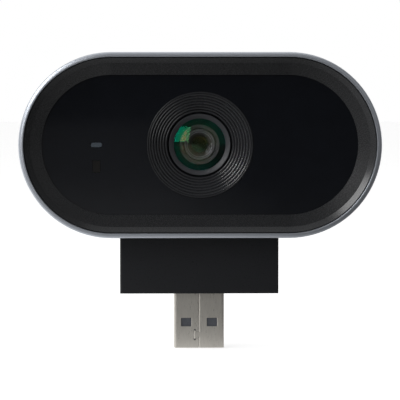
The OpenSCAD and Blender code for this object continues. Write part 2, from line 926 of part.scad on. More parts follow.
// The neck's outer form: a slab with a half round top about the tilt axis
module neck_form() {
    linear_extrude(hinge_z)
        round_rect(neck_w, neck_t, neck_round);
    translate([-neck_w / 2, 0, hinge_z])
        rotate([0, 90, 0])
            rotate([0, 0, 90])
                rotate_extrude(angle = 180)
                    square([neck_r, neck_w]);
}

// The part of the neck's form that the cover takes
module cover_space(gap) {
    translate([-neck_w, cavity_y - gap, neck_wall - gap])
        cube([neck_w * 2, neck_r, hinge_z + neck_r]);
}

// The hollow of the neck: a slot with a half round top
module neck_hollow() {
    translate([-neck_inside, -cavity_y, neck_wall])
        cube([neck_inside * 2, cavity_y * 2, hinge_z - neck_wall]);
    translate([-neck_inside, 0, hinge_z])
        rotate([0, 90, 0])
            rotate([0, 0, 90])
                rotate_extrude(angle = 180)
                    square([cavity_r, neck_inside * 2]);
}

// The neck's one piece front: floor, end walls and front wall, with the bosses of its board
module neck_housing() color([0.13, 0.13, 0.13]) {
    usb_boss_z = usb_board_z + usb_board_h / 2;
    difference() {
        union() {
            difference() {
                neck_form();
                neck_hollow();
                cover_space(0);
            }
            for (x = [-usb_boss_x, usb_boss_x])
                rod(x, usb_boss_z, -cavity_y - neck_wall / 2, usb_boss_r,
                    cavity_y + neck_wall / 2 + usb_board_y);
            for (x = [-cover_screw_x, cover_screw_x])
                rod(x, cover_screw_z, -cavity_y - neck_wall / 2, cover_boss_r, cavity_y * 2 + neck_wall / 2);
        }
        plug_hole();
        for (x = [-usb_boss_x, usb_boss_x])
            rod(x, usb_boss_z, usb_board_y - usb_screw_l, usb_screw_r + seat_gap,
                usb_screw_l + overrun);
        for (x = [-cover_screw_x, cover_screw_x])
            rod(x, cover_screw_z, cavity_y - usb_screw_l, usb_screw_r + seat_gap, usb_screw_l + overrun);
        about_hinge(-1)
            translate([0, neck_inside - overrun])
                square([pin_r + seat_gap / 5, end_wall + 2 * overrun]);
        about_hinge(1)
            translate([0, neck_inside - overrun])
                square([tube_r + seat_gap / 5, end_wall + 2 * overrun]);
    }
}

module plug_hole() {
    translate([0, 0, -overrun])
        linear_extrude(neck_wall + 2 * overrun)
            round_rect(plug_w + loose_gap, plug_t + loose_gap, plug_round);
}

module neck_cover() color([0.13, 0.13, 0.13])
    difference() {
        intersection() {
            neck_form();
            cover_space(0);
        }
        for (x = [-cover_screw_x, cover_screw_x]) {
            rod(x, cover_screw_z, 0, usb_screw_r + loose_gap, neck_t);
            rod(x, cover_screw_z, neck_r - screw_head_t, usb_screw_head + loose_gap, neck_t);
        }
    }

module cover_screws() color("lightgray")
    for (x = [-cover_screw_x, cover_screw_x])
        translate([x, neck_r - screw_head_t, cover_screw_z])
            mirror([0, 1, 0])
                screw(usb_screw_r, usb_screw_l, usb_screw_head, screw_head_t * 0.9);

// A straight cut between two points of the plug's front view
module cut_line(a, b) {
    run = b - a;
    translate(a)
        rotate(atan2(run[1], run[0]))
            translate([-seam_w / 2, -seam_w / 2])
                square([norm(run) + seam_w, seam_w]);
}

// The closing seam, with the dovetail that locks the two edges of the sheet
module seam() {
    tip = -plug_l;
    mid = tip + dovetail_rise;
    points = [[seam_x, shell_top + overrun], [seam_x, mid + dovetail_root / 2],
        [seam_x - dovetail_l, mid + dovetail_head / 2], [seam_x - dovetail_l, mid - dovetail_head / 2],
        [seam_x, mid - dovetail_root / 2], [seam_x, tip - overrun]];
    for (i = [1:len(points) - 1])
        cut_line(points[i - 1], points[i]);
    for (side = [-1, 1])
        translate([seam_x - dovetail_l * 0.75, mid + side * dovetail_head / 2])
            circle(relief_r, $fn = 24);
}

// The folded sheet shell of the plug, with its windows, its seam and its two legs
module usb_shell() color([0.62, 0.61, 0.6]) {
    span_z = plug_l + shell_top;
    difference() {
        union() {
            intersection() {
                translate([0, 0, -plug_l])
                    linear_extrude(span_z)
                        round_rect(plug_w, plug_t, plug_round);
                rotate([90, 0, 0])
                    linear_extrude(plug_t * 2, center = true)
                        tapered(plug_w);
                rotate([90, 0, 90])
                    linear_extrude(plug_w * 2, center = true)
                        tapered(plug_t);
            }
            for (side = [-1, 1])
                translate([side * (plug_w - sheet_t) / 2 - sheet_t / 2, -leg_w / 2, shell_top])
                    cube([sheet_t, leg_w, leg_l]);
        }
        translate([0, 0, -plug_l - overrun])
            linear_extrude(span_z + 2 * overrun)
                round_rect(plug_w - 2 * sheet_t, plug_t - 2 * sheet_t, plug_round - sheet_t);
        for (x = [-window_x, window_x])
            translate([x - window_w / 2, -plug_t, window_rise + window_h / 2 - plug_l - window_h])
                cube([window_w, plug_t * 2, window_h]);
        translate([0, -plug_t / 2 + sheet_t * 1.5, 0])
            rotate([90, 0, 0])
                linear_extrude(sheet_t * 2)
                    seam();
    }
}

// A side view of the shell that draws in at its tip
module tapered(width) {
    tip = -plug_l;
    half = width / 2;
    polygon([[-half + tip_chamfer / 2, tip], [half - tip_chamfer / 2, tip], [half, tip + tip_chamfer],
        [half, shell_top], [-half, shell_top], [-half, tip + tip_chamfer]]);
}

// The plastic block that fills the top of the shell and its tongue along the front
module usb_tongue() color([0.1, 0.1, 0.1]) {
    inner_w = plug_w - 2 * (sheet_t + seat_gap);
    inner_t = plug_t - 2 * (sheet_t + seat_gap);
    difference() {
        intersection() {
            translate([0, 0, tongue_set - plug_l])
                linear_extrude(plug_l + shell_top - tongue_set)
                    round_rect(inner_w, inner_t, plug_round - sheet_t);
            union() {
                translate([-plug_w / 2, -inner_t / 2 - overrun, -plug_l])
                    cube([plug_w, tongue_t + overrun, plug_l + shell_top]);
                translate([-plug_w / 2, -plug_t / 2, 0])
                    cube([plug_w, plug_t, shell_top]);
            }
        }
        contact_strips(seat_gap);
    }
}

// The four strips, the outer two longer, each from the tongue up to the board
module contact_strips(gap) {
    for (i = [0:len(contact_rises) - 1])
        translate([contact_shares[i] * plug_w - contact_w / 2 - gap, tongue_face - contact_t / 2,
            contact_rises[i] - plug_l - gap])
            cube([contact_w + 2 * gap, contact_t + gap, plug_l + contact_top - contact_rises[i]]);
}

module usb_contacts() color("gold")
    contact_strips(0);

module usb_board() color("darkgreen")
    difference() {
        box(0, usb_board_z + usb_board_h / 2, usb_board_y, usb_board_w, usb_board_h, usb_board_t);
        for (x = [-usb_boss_x, usb_boss_x])
            rod(x, usb_board_z + usb_board_h / 2, -neck_r, usb_screw_r + loose_gap, neck_t);
        for (side = [-1, 1])
            translate([side * (plug_w - sheet_t) / 2 - sheet_t / 2 - loose_gap, -neck_r, 0])
                cube([sheet_t + 2 * loose_gap, neck_t, shell_top + leg_l + loose_gap]);
    }

module usb_board_screws() color("lightgray")
    for (x = [-usb_boss_x, usb_boss_x])
        translate([x, usb_board_y + usb_board_t, usb_board_z + usb_board_h / 2])
            mirror([0, 1, 0])
                screw(usb_screw_r, usb_screw_l, usb_screw_head, screw_head_t);

// A surge protector and two capacitors behind the plug's board
module usb_board_parts() color("tan") {
    back = usb_board_y + usb_board_t;
    mid = usb_board_z + usb_board_h / 2;
    box(0, mid, back, cap_w * 2, cap_w, cap_t);
    for (side = [-1, 1])
        box(side * cap_w * 3, mid, back, cap_h, cap_w, cap_t);
}

module neck_socket() color("ivory")
    socket_body(neck_socket_x, neck_socket_z + socket_h / 2, usb_board_y - socket_t, 1);

module neck_plug() color("white")
    plug_body(neck_socket_x, neck_socket_z + socket_h / 2, usb_board_y - socket_t, 1);

module neck_harness() color([0.1, 0.1, 0.1]) {
    foot = [neck_socket_x, usb_board_y - socket_t / 2, neck_socket_z + socket_h];
    door = [neck_inside - collar_t, 0, hinge_z];
    bend = hinge_z - foot[2];
    path = led_curve(foot, [0, 0, 1], door, [-1, 0, 0], bend, bend);
    wire(concat(path, [[harness_x, 0, hinge_z]]), wire_r);
}

rear_shell();
bezel_gasket();
bezel();
panel_adhesive();
window_panel();
funnel_adhesive();
lens_funnel();
lens_barrel();
front_lens();
lens_ring();
lens_baffle();
inner_lens();
iris();
rear_lens();
lens_retainer();
lens_holder();
holder_screws();
ir_filter();
image_sensor();
main_board();
board_screws();
board_parts();
image_processor();
shield_can();
thermal_pad();
heat_spreader();
status_led();
light_pipe();
light_sensor();
sensor_guide();
microphones();
mic_boots();
harness_socket();
harness_plug();
head_harness();
hinge_pin();
hinge_bush();
friction_washer();
spring_washers();
hinge_nut();
trunnion();
trunnion_bush();
trunnion_clip();
neck_housing();
neck_cover();
cover_screws();
usb_shell();
usb_tongue();
usb_contacts();
usb_board();
usb_board_screws();
usb_board_parts();
neck_socket();
neck_plug();
neck_harness();
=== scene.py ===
"""Shapes and finishes of a small plug-in video camera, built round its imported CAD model."""

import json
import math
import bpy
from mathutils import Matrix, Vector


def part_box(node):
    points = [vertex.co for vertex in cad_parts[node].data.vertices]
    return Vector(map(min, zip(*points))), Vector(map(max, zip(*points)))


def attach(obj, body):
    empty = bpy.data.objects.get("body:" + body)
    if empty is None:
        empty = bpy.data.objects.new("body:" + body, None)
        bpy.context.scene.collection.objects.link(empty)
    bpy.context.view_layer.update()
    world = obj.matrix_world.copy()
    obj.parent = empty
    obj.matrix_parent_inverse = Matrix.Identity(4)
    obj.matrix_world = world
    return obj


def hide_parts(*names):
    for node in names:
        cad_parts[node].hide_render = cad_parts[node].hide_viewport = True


bl_info = {
    "name": "Plug-in webcam",
    "version": (1, 0, 0),
    "blender": (4, 5, 0),
    "location": "3D View > Sidebar > Webcam",
    "description": "Builds a webcam with a stepped bezel, a ridged lens cone and a tilting neck",
    "category": "Object",
}

import bmesh
import bpy
from bpy.props import FloatProperty, FloatVectorProperty, IntProperty, PointerProperty
from mathutils import Vector

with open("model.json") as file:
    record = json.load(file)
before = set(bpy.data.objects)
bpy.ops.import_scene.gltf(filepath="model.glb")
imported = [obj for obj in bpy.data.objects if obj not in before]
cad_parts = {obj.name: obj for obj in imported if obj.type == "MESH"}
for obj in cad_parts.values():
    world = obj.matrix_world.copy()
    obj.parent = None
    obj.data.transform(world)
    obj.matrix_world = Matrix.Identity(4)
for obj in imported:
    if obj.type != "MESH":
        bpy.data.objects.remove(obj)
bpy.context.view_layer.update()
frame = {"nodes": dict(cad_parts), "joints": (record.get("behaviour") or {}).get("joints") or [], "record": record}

# Lengths are in metres. Depths are measured back along +Y from the plane of the head's rim.
MM = 0.001
SAME = 0.002 * MM  # places nearer than this are one place
GAP = 0.05 * MM  # between pieces that fit into each other
OVER = 1 * MM  # how far a cutter stands out of what it cuts
FINE = 128  # sides of the circles that show most

# The head, from its shell's box
SHELL_LOW, SHELL_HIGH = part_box("rear_shell")
FRONT = SHELL_LOW.y
HEAD_DEPTH = SHELL_HIGH.y - FRONT
HEAD_R = (SHELL_HIGH.z - SHELL_LOW.z) / 2
HEAD_Z = (SHELL_HIGH.z + SHELL_LOW.z) / 2
HALF_SPAN = SHELL_HIGH.x - HEAD_R


def section(node, is_long=False):
    """A round node's radius or a long one's half height, and the depths of its front and its back."""
    low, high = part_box(node)
    return (high.z - low.z) / 2 if is_long else high.x, low.y - FRONT, high.y - FRONT


# The pieces in the head's front, as radii and depths
BEZEL_R, BEZEL_D, BEZEL_BACK = section("bezel", is_long=True)
PANEL_R, PANEL_D, PANEL_BACK = section("window_panel", is_long=True)
CONE_FLANGE_R, _, CONE_BACK = section("lens_funnel")
BARREL_R, BARREL_D, BARREL_BACK = section("lens_barrel")
GLASS_R, GLASS_D, GLASS_BACK = section("front_lens")
RING_R, RING_D, RING_BACK = section("lens_ring")
BAFFLE_R = section("lens_baffle")[0]
BAFFLE_STEPS = (1, 0.93, 0.83, 0.54)  # radii of its steps and its bore, as shares of its own
LIGHT_LOW, LIGHT_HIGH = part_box("light_pipe")
SENSE_LOW, SENSE_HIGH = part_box("sensor_guide")

# The neck and the plug
NECK_LOW, NECK_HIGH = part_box("neck_housing")
COVER_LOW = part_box("neck_cover")[0]
PLUG_LOW, PLUG_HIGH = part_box("usb_shell")
HINGE = Vector(frame["joints"][0]["pos_m"])
TILT_UP, TILT_DOWN = (abs(turn) for turn in frame["joints"][0]["range_deg"])


def linear(colour):
    """The linear values of an sRGB hex colour."""
    shares = [int(colour[i : i + 2], 16) / 255 for i in (0, 2, 4)]
    return [s / 12.92 if s <= 0.04045 else ((s + 0.055) / 1.055) ** 2.4 for s in shares]


def length(label, millimetres):
    """A length property with its default in millimetres."""
    return FloatProperty(name=label, default=millimetres * MM, unit="LENGTH", precision=5)


def angle(label, degrees):
    """An angle property with its default in degrees."""
    return FloatProperty(name=label, default=math.radians(degrees), unit="ROTATION")


def power(label, watts):
    """A lamp's power property with its default in watts."""
    return FloatProperty(name=label, default=watts, unit="POWER")


def colour(label, code):
    """A colour property with its default as an sRGB hex value."""
    return FloatVectorProperty(name=label, default=linear(code), subtype="COLOR", size=3)


# Sizes and colours that a user would change


class HeadSizes(bpy.types.PropertyGroup):
    """Sizes of the head's shell, bezel and window."""

    shell_wall: length("Thickness of the shell's wall", 1.5)
    rim_width: length("Width of the rim round the front", 1.13)
    rim_round: length("Rounding of the rim's outer edge", 0.9)
    back_round: length("Rounding of the shell's back edge", 3)
    ledge_reach: length("Width of the ledge behind the bezel", 1.4)
    ledge_wall: length("Thickness of the ledge behind the bezel", 1)
    hinge_hole: length("Radius of the hinge's holes in the pocket's walls", 3.2)
    port_radius: length("Radius of the two ports in the top", 0.5)
    port_reach: length("Distance of the ports from the middle", 18)
    port_depth: length("Distance of the ports from the rim's plane", 13.3)
    land_width: length("Width of the flat land outside the bevel", 0.2)
    land_drop: length("How far the gap beside the bevel is set back", 0.25)
    bevel_width: length("Width of the smooth bevel inside the rim", 1.25)
    bevel_drop: length("Fall of the bevel over its width", 1.2)
    step_count: IntProperty(name="Number of fine steps down to the window", default=10, min=1)
    step_tread: length("Width of one fine step", 0.275)
    step_drop: length("Fall of one fine step", 0.16)
    foot_width: length("Width of the foot round the window", 1)
    wall_top: length("Thickness of the bezel's wall behind the bevel", 2)
    wall_foot: length("Thickness of the bezel's wall at its back", 1.4)
    edge_round: length("Rounding of the moulded edges", 0.03)


class LensSizes(bpy.types.PropertyGroup):
    """Sizes of the ridged cone, the barrel and the glass."""

    cone_radius: length("Radius of the cone at the window", 12.6)
    cone_lip: length("Width of the flat lip round the cone", 0.4)
    cone_proud: length("How far the lip stands over the window", 0.15)
    cone_drop: length("Fall of the cone from its lip to the barrel", 3.1)
    cone_gap: length("Gap between the cone and the barrel", 0.24)
    wall: length("Thickness of the cone's wall", 1)
    lip_step: length("Width of the step inside the cone's lip", 0.08)
    flange_wall: length("Thickness of the cone's flange behind the window", 0.8)
    ridge_count: IntProperty(name="Number of ridges in the cone", default=7, min=1)
    ridge_height: length("Height of one ridge", 0.25)
    lip_round: length("Outer rounding of the lip round the glass", 0.12)
    lip_fall: length("How far the lip falls inwards to the glass", 0.56)
    ring_fall: length("How far the ring under the glass falls inwards", 0.3)
    ring_slant: length("How much narrower the ring's bore is at its back", 0.2)
    baffle_gap: length("Gap between the ring and the baffle in its bore", 0.25)
    ink_gap: length("Gap between the inked rim and the barrel's floor", 0.06)
    tube_step: length("How much narrower the barrel is behind its lip", 0.15)
    stop_width: length("Width of the stop at the barrel's back", 0.8)
    stop_wall: length("Thickness of the stop at the barrel's back", 0.2)
    window_round: length("Rounding of the window's edges", 0.04)
    ring_round: length("Rounding of the rings' edges", 0.03)
    glass_rim: length("Thickness of the front glass at its rim", 0.8)


class NeckSizes(bpy.types.PropertyGroup):
    """Sizes of the neck and the plug."""

    corner_round: length("Rounding of the neck's upright edges", 0.5)
    foot_round: length("Rounding of the neck's lower edges", 0.2)
    wall: length("Thickness of the neck's wall", 1.6)
    pocket_gap: length("Gap between the neck and its pocket", 0.35)
    pocket_wall: length("Thickness of the pocket's wall in the head", 1.2)
    sheet: length("Thickness of the plug's folded sheet", 0.3)
    plug_corner: length("Outer rounding of the plug's long edges", 0.6)
    window_width: length("Width of the windows in the plug", 2.5)
    window_height: length("Height of the windows in the plug", 2.05)
    window_reach: length("Distance of the windows from the middle", 3.1)
    window_rise: length("Height of the windows' middle above the tip", 6.2)
    seam_width: length("Width of the seam between the sheet's two edges", 0.06)
    edge_roll: length("Width of the slope at a sheared edge", 0.26)
    roll_slope: angle("Slope of a sheared edge", 20)
    seam_x: length("Distance of the seam from the middle", -0.04)
    dovetail_rise: length("Height of the dovetail's middle above the tip", 3.17)
    dovetail_length: length("Length of the dovetail", 1.28)
    dovetail_root: length("Width of the dovetail at its root", 1.3)
    dovetail_head: length("Width of the dovetail at its end", 2.3)
    notch_radius: length("Radius of the notches at the dovetail's corners", 0.22)
    tip_chamfer: length("Height of the tapered tip", 0.15)
    leg_length: length("Length of the two legs above the shell", 2.6)
    leg_width: length("Width of the two legs", 1.6)
    window_round: length("Rounding of the plug's window corners", 0.12)
    sheet_round: length("Rounding of the sheet's edges", 0.02)
    sink: length("Depth of the cover screws' sinks", 0.8)
    sink_gap: length("Gap round the cover screws' heads", 0.12)
    end_wall: length("Thickness of the neck's two ends", 2)
    pin_bore: length("Radius of the hinge pin's hole in the neck", 1.51)
    trunnion_bore: length("Radius of the trunnion's hole in the neck", 2.41)
    plug_gap: length("Gap round the plug in the neck's foot", 0.07)


class Colours(bpy.types.PropertyGroup):
    """Colours of the finishes that show."""

    shell: colour("Silver lacquer of the shell", "B9BEC6")
    bezel: colour("Textured black of the bezel", "242527")
    window: colour("Smoked window", "101217")
    cone: colour("Satin black of the cone", "222326")
    barrel: colour("Black of the barrel and its lip", "333438")
    ring: colour("Grey of the ring under the glass", "46474A")
    baffle: colour("Grey of the stepped baffle in the ring", "525355")
    light: colour("Frosted end of the light guide", "3D464F")
    neck: colour("Black of the neck", "232427")
    plug: colour("Nickel of the plug's shell", "D0CCC4")


class StageSizes(bpy.types.PropertyGroup):
    """The camera, the lamps and the floor."""

    distance: length("From the camera to the middle of the picture", 740)
    aim_x: length("Where the camera looks, across the plug's axis", 0.29)
    aim_z: length("Where the camera looks, above the neck's foot", 22.22)
    turn: angle("How far the camera is turned", -1.6)
    rise: angle("How far the camera is raised", 2.5)
    focal: FloatProperty(name="Focal length in millimetres", default=276.3)
    floor_width: length("Width of the floor", 6000)
    key_power: power("Power of the lamp on the left", 4.5)
    top_power: power("Power of the lamp overhead", 0.6)
    front_power: power("Power of the lamp in front", 1.9)
    fill_power: power("Power of the lamp on the right", 0.5)


# Modelling


def deselect():
    """Nothing is selected afterwards."""
    bpy.ops.object.select_all(action="DESELECT")


def choose(piece):
    """Makes the piece the only selected object."""
    deselect()
    piece.select_set(True)
    bpy.context.view_layer.objects.active = piece


def name_piece(name):
    """Names the object that was just added and puts its place in its mesh."""
    piece = bpy.context.object
    piece.name = piece.data.name = name
    bpy.ops.object.transform_apply(location=True, rotation=True, scale=True)
    return piece


def draw_line(name, points):
    """Adds one corner and extrudes it from point to point. The piece stays in edit mode, all selected."""
    deselect()
    bpy.ops.mesh.primitive_plane_add(size=MM, location=points[0])
    piece = name_piece(name)
    bpy.ops.object.mode_set(mode="EDIT")
    bpy.ops.mesh.select_all(action="SELECT")
    bpy.ops.mesh.merge(type="CENTER")
    for start, end in zip(points, points[1:]):
        bpy.ops.mesh.extrude_vertices_move(TRANSFORM_OT_translate={"value": end - start})
    bpy.ops.mesh.select_all(action="SELECT")
    bpy.ops.mesh.remove_doubles(threshold=SAME)
    return piece


def close_up():
    """Merges doubles, turns the faces outwards and leaves edit mode."""
    bpy.ops.mesh.select_all(action="SELECT")
    bpy.ops.mesh.remove_doubles(threshold=SAME)
    bpy.ops.mesh.normals_make_consistent(inside=False)
    bpy.ops.object.mode_set(mode="OBJECT")


def select_corners(piece, test):
    """Selects the corners whose place passes the test, and what lies between them. Edit mode only."""
    bpy.ops.mesh.select_all(action="DESELECT")
    mesh = bmesh.from_edit_mesh(piece.data)
    for corner in mesh.verts:
        corner.select_set(bool(test(corner.co)))
    mesh.select_flush(True)
    bmesh.update_edit_mesh(piece.data)


def apply_modifier(piece, kind, **settings):
    """Adds a modifier with its settings and applies it."""
    choose(piece)
    bpy.ops.object.modifier_add(type=kind)
    modifier = piece.modifiers[-1]
    for name, value in settings.items():
        setattr(modifier, name, value)
    bpy.ops.object.modifier_apply(modifier=modifier.name)


def combine(piece, tool, operation="DIFFERENCE"):
    """Cuts, joins or intersects the piece with a tool, which is then removed."""
    apply_modifier(piece, "BOOLEAN", operation=operation, solver="EXACT", object=tool)
    bpy.data.objects.remove(tool)


def soften(piece, width, segments=2, angle=30):
    """Rounds the sharp edges, and shades the rounded edges smooth and the faces between them flat."""
    apply_modifier(
        piece, "BEVEL", width=width, segments=segments, limit_method="ANGLE", angle_limit=math.radians(angle),
        use_clamp_overlap=True, miter_outer="MITER_ARC",
    )
    shade(piece, angle)
    apply_modifier(piece, "WEIGHTED_NORMAL", weight=100, keep_sharp=True)


def shade(piece, angle=30):
    """Shades the piece smooth, except over edges sharper than the angle."""
    choose(piece)
    bpy.ops.object.shade_smooth_by_angle(angle=math.radians(angle))


def arc(middle, radius, start, end, steps):
    """Points of an arc in a profile, in degrees from its first direction to its second."""
    turns = [math.radians(start + (end - start) * i / steps) for i in range(steps + 1)]
    return [(middle[0] + radius * math.cos(t), middle[1] + radius * math.sin(t)) for t in turns]


def draw_profile(name, profile, x):
    """Draws a profile of radii and depths above a place on the head's middle line.

    One that doesn't start on the axis is closed.
    """
    if profile[0][0] > 0:
        profile = [*profile, profile[0]]
    return draw_line(name, [Vector((x, FRONT + depth, HEAD_Z + radius)) for radius, depth in profile])


def turned(name, profile, steps=96):
    """Turns a profile of radii and depths about the lens axis."""
    piece = draw_profile(name, profile, 0)
    bpy.ops.mesh.spin(steps=steps, angle=2 * math.pi, center=(0, FRONT, HEAD_Z), axis=(0, 1, 0))
    close_up()
    return piece


def swept(name, profile, steps=48):
    """Sweeps a profile of radii and depths round the head's outline: half of it, then its mirror image."""
    piece = draw_profile(name, profile, HALF_SPAN)
    bpy.ops.mesh.spin(steps=steps, angle=-math.pi, center=(HALF_SPAN, FRONT, HEAD_Z), axis=(0, 1, 0))
    bpy.ops.mesh.select_all(action="SELECT")
    bpy.ops.mesh.remove_doubles(threshold=SAME)
    select_corners(piece, lambda place: place.x < HALF_SPAN + SAME)
    bpy.ops.mesh.extrude_edges_move(TRANSFORM_OT_translate={"value": (-HALF_SPAN, 0, 0)})
    bpy.ops.object.mode_set(mode="OBJECT")
    apply_modifier(piece, "MIRROR", use_mirror_merge=True, merge_threshold=SAME)
    bpy.ops.object.mode_set(mode="EDIT")
    close_up()
    return piece


def box(name, low, high):
    """A box between two corners."""
    deselect()
    size = Vector(high) - Vector(low)
    bpy.ops.mesh.primitive_cube_add(size=1, location=(Vector(low) + Vector(high)) / 2, scale=size)
    return name_piece(name)


def rod(name, start, along, radius, steps=32):
    """A round rod from a point along a vector."""
    deselect()
    start, along = Vector(start), Vector(along)
    turn = along.to_track_quat("Z", "Y").to_euler()
    bpy.ops.mesh.primitive_cylinder_add(
        vertices=steps, radius=radius, depth=along.length, location=start + along / 2, rotation=turn
    )
    return name_piece(name)


def drill(piece, start, along, radius, steps=32):
    """Cuts a round hole into the piece from a point along a vector."""
    combine(piece, rod("drill", start, along, radius, steps))


def extruded(name, points, along):
    """Fills a closed flat outline and extrudes it."""
    piece = draw_line(name, [Vector(p) for p in points] + [Vector(points[0])])
    bpy.ops.mesh.edge_face_add()
    bpy.ops.mesh.extrude_region_move(TRANSFORM_OT_translate={"value": along})
    close_up()
    return piece


def bevel_edges(piece, axis, width, segments, least=SAME):
    """Rounds the edges that run more than the least way along an axis. Object mode before and after."""
    choose(piece)
    bpy.ops.object.mode_set(mode="EDIT")
    bpy.ops.mesh.select_mode(type="EDGE")
    bpy.ops.mesh.select_all(action="DESELECT")
    mesh = bmesh.from_edit_mesh(piece.data)
    for edge in mesh.edges:
        first, second = (getattr(corner.co, axis) for corner in edge.verts)
        edge.select_set(abs(first - second) > least)
    bmesh.update_edit_mesh(piece.data)
    bpy.ops.mesh.bevel(offset=width, segments=segments, profile=0.5, affect="EDGES")
    bpy.ops.mesh.select_mode(type="VERT")
    bpy.ops.object.mode_set(mode="OBJECT")


def finish(piece, body, slot, *nodes, look=None):
    """Gives a piece its body and the finish of its slot or another, and hides the nodes it stands for."""
    piece.data.materials.clear()
    piece.data.materials.append(finish_of(look or slot))
    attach(piece, body)
    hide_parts(*nodes)


# Finishes


def add_node(tree, kind, settings=None, values=None, links=None):
    """Adds a node with its settings, its sockets' values and its links."""
    new = tree.nodes.new(kind)
    for name, value in (settings or {}).items():
        setattr(new, name, value)
    for socket, value in (values or {}).items():
        new.inputs[socket].default_value = value
    for socket, source in (links or {}).items():
        tree.links.new(source, new.inputs[socket])
    return new


def grey(level):
    """A grey colour for a node."""
    return (level, level, level, 1)


# The grain: the noise between these two values runs from the darkest tone to the brightest
GRAIN_LOW, GRAIN_HIGH = 0.3, 0.7
ROUGHNESS_SPREAD = 0.1  # how much the roughness varies with the grain, as a share


def surface(name, tone, roughness, grain, relief, contrast=0.2, metallic=0.0, stretch=(1, 1, 1), **sockets):
    """A finish with a fine grain that varies its tone, its roughness and its relief.

    The tone is a linear colour, grain is the size of a grain and relief its height, both in metres.
    """
    material = bpy.data.materials.new(name)
    material.use_nodes = True
    tree = material.node_tree
    shader = tree.nodes["Principled BSDF"]
    shader.inputs["Metallic"].default_value = metallic
    for socket, value in sockets.items():
        shader.inputs[socket.replace("_", " ")].default_value = value
    place = add_node(tree, "ShaderNodeTexCoord").outputs["Object"]
    laid = add_node(tree, "ShaderNodeMapping", values={"Scale": stretch}, links={"Vector": place})
    grains = add_node(
        tree, "ShaderNodeTexNoise", values={"Scale": 1 / grain, "Detail": 3, "Roughness": 0.6},
        links={"Vector": laid.outputs["Vector"]},
    )
    tones = add_node(tree, "ShaderNodeValToRGB", links={"Fac": grains.outputs["Fac"]})
    dark, bright = tones.color_ramp.elements
    dark.position, dark.color = GRAIN_LOW, [c * (1 - contrast) for c in tone] + [1]
    bright.position, bright.color = GRAIN_HIGH, [min(1, c * (1 + contrast)) for c in tone] + [1]
    tree.links.new(tones.outputs["Color"], shader.inputs["Base Color"])
    rough = add_node(
        tree, "ShaderNodeMapRange",
        values={
            "From Min": GRAIN_LOW, "To Min": roughness * (1 - ROUGHNESS_SPREAD),
            "From Max": GRAIN_HIGH, "To Max": roughness * (1 + ROUGHNESS_SPREAD),
        },
        links={"Value": grains.outputs["Fac"]},
    )
    tree.links.new(rough.outputs["Result"], shader.inputs["Roughness"])
    if relief:
        bump = add_node(
            tree, "ShaderNodeBump", values={"Strength": 0.6, "Distance": relief},
            links={"Height": grains.outputs["Fac"]},
        )
        tree.links.new(bump.outputs["Normal"], shader.inputs["Normal"])
    return material


# Painted highlight across a step's edge: places from the edge as shares of the baffle's steps, and brightness
PAINTED_EDGE_HIGHLIGHTS = ((-0.09, 0.6), (-0.05, 2.6), (0.0, 2.6), (0.03, 0.6))


def paint_baffle_shade_and_highlights(tree, shader):
    """Paints shade on the baffle that darkens it towards its bore, and paints bright highlight rings along its
    three step edges.
    """
    place = next(n for n in tree.nodes if n.type == "TEX_COORD").outputs["Object"]
    flat = add_node(
        tree, "ShaderNodeVectorMath", {"operation": "MULTIPLY_ADD"},
        {1: (1, 0, 1), 2: (0, 0, -HEAD_Z)}, {0: place},
    ).outputs["Vector"]
    reach = add_node(tree, "ShaderNodeVectorMath", {"operation": "LENGTH"}, links={0: flat}).outputs["Value"]
    share = add_node(
        tree, "ShaderNodeMapRange", values={"From Min": BAFFLE_R * BAFFLE_STEPS[-1], "From Max": BAFFLE_R},
        links={"Value": reach},
    ).outputs["Result"]
    # Painted shade: the baffle darkens towards its bore
    painted_light = add_node(tree, "ShaderNodeValToRGB", links={"Fac": share})
    ramp = painted_light.color_ramp.elements
    ramp[0].position, ramp[0].color = 0.1, grey(0.02)
    ramp[1].position, ramp[1].color = 0.55, grey(1)
    # Painted highlights: bright rings, up to 2.6 times the tone, along the three step edges
    span = 1 - BAFFLE_STEPS[-1]
    for edge in BAFFLE_STEPS[:3]:
        middle = (edge - BAFFLE_STEPS[-1]) / span
        for offset, level in PAINTED_EDGE_HIGHLIGHTS:
            if middle + offset <= 1:
                ramp.new(middle + offset).color = grey(level)
    mixed = add_node(
        tree, "ShaderNodeMixRGB", {"blend_type": "MULTIPLY"}, {"Fac": 1},
        {"Color1": painted_light.outputs["Color"], "Color2": shader.inputs["Base Color"].links[0].from_socket},
    )
    tree.links.new(mixed.outputs["Color"], shader.inputs["Base Color"])


def lay_traces(tree, shader):
    """Lays the copper traces under the solder mask, as paler lines half a millimetre wide."""
    ramp = next(n for n in tree.nodes if n.type == "VALTORGB")
    place = next(n for n in tree.nodes if n.type == "TEX_COORD").outputs["Object"]
    upright = add_node(
        tree, "ShaderNodeMapping", values={"Rotation": (math.pi / 2, 0, 0)}, links={"Vector": place}
    )
    traces = add_node(
        tree, "ShaderNodeTexBrick",
        values={"Scale": 1 / (20 * MM), "Mortar Size": 0.012, "Brick Width": 0.35, "Row Height": 0.09,
                "Color1": grey(0), "Color2": grey(0), "Mortar": grey(1)},
        links={"Vector": upright.outputs["Vector"]},
    )
    mixed = add_node(
        tree, "ShaderNodeMixRGB", values={"Color2": linear("3B8551") + [1]},
        links={"Fac": traces.outputs["Color"], "Color1": ramp.outputs["Color"]},
    )
    tree.links.new(mixed.outputs["Color"], shader.inputs["Base Color"])


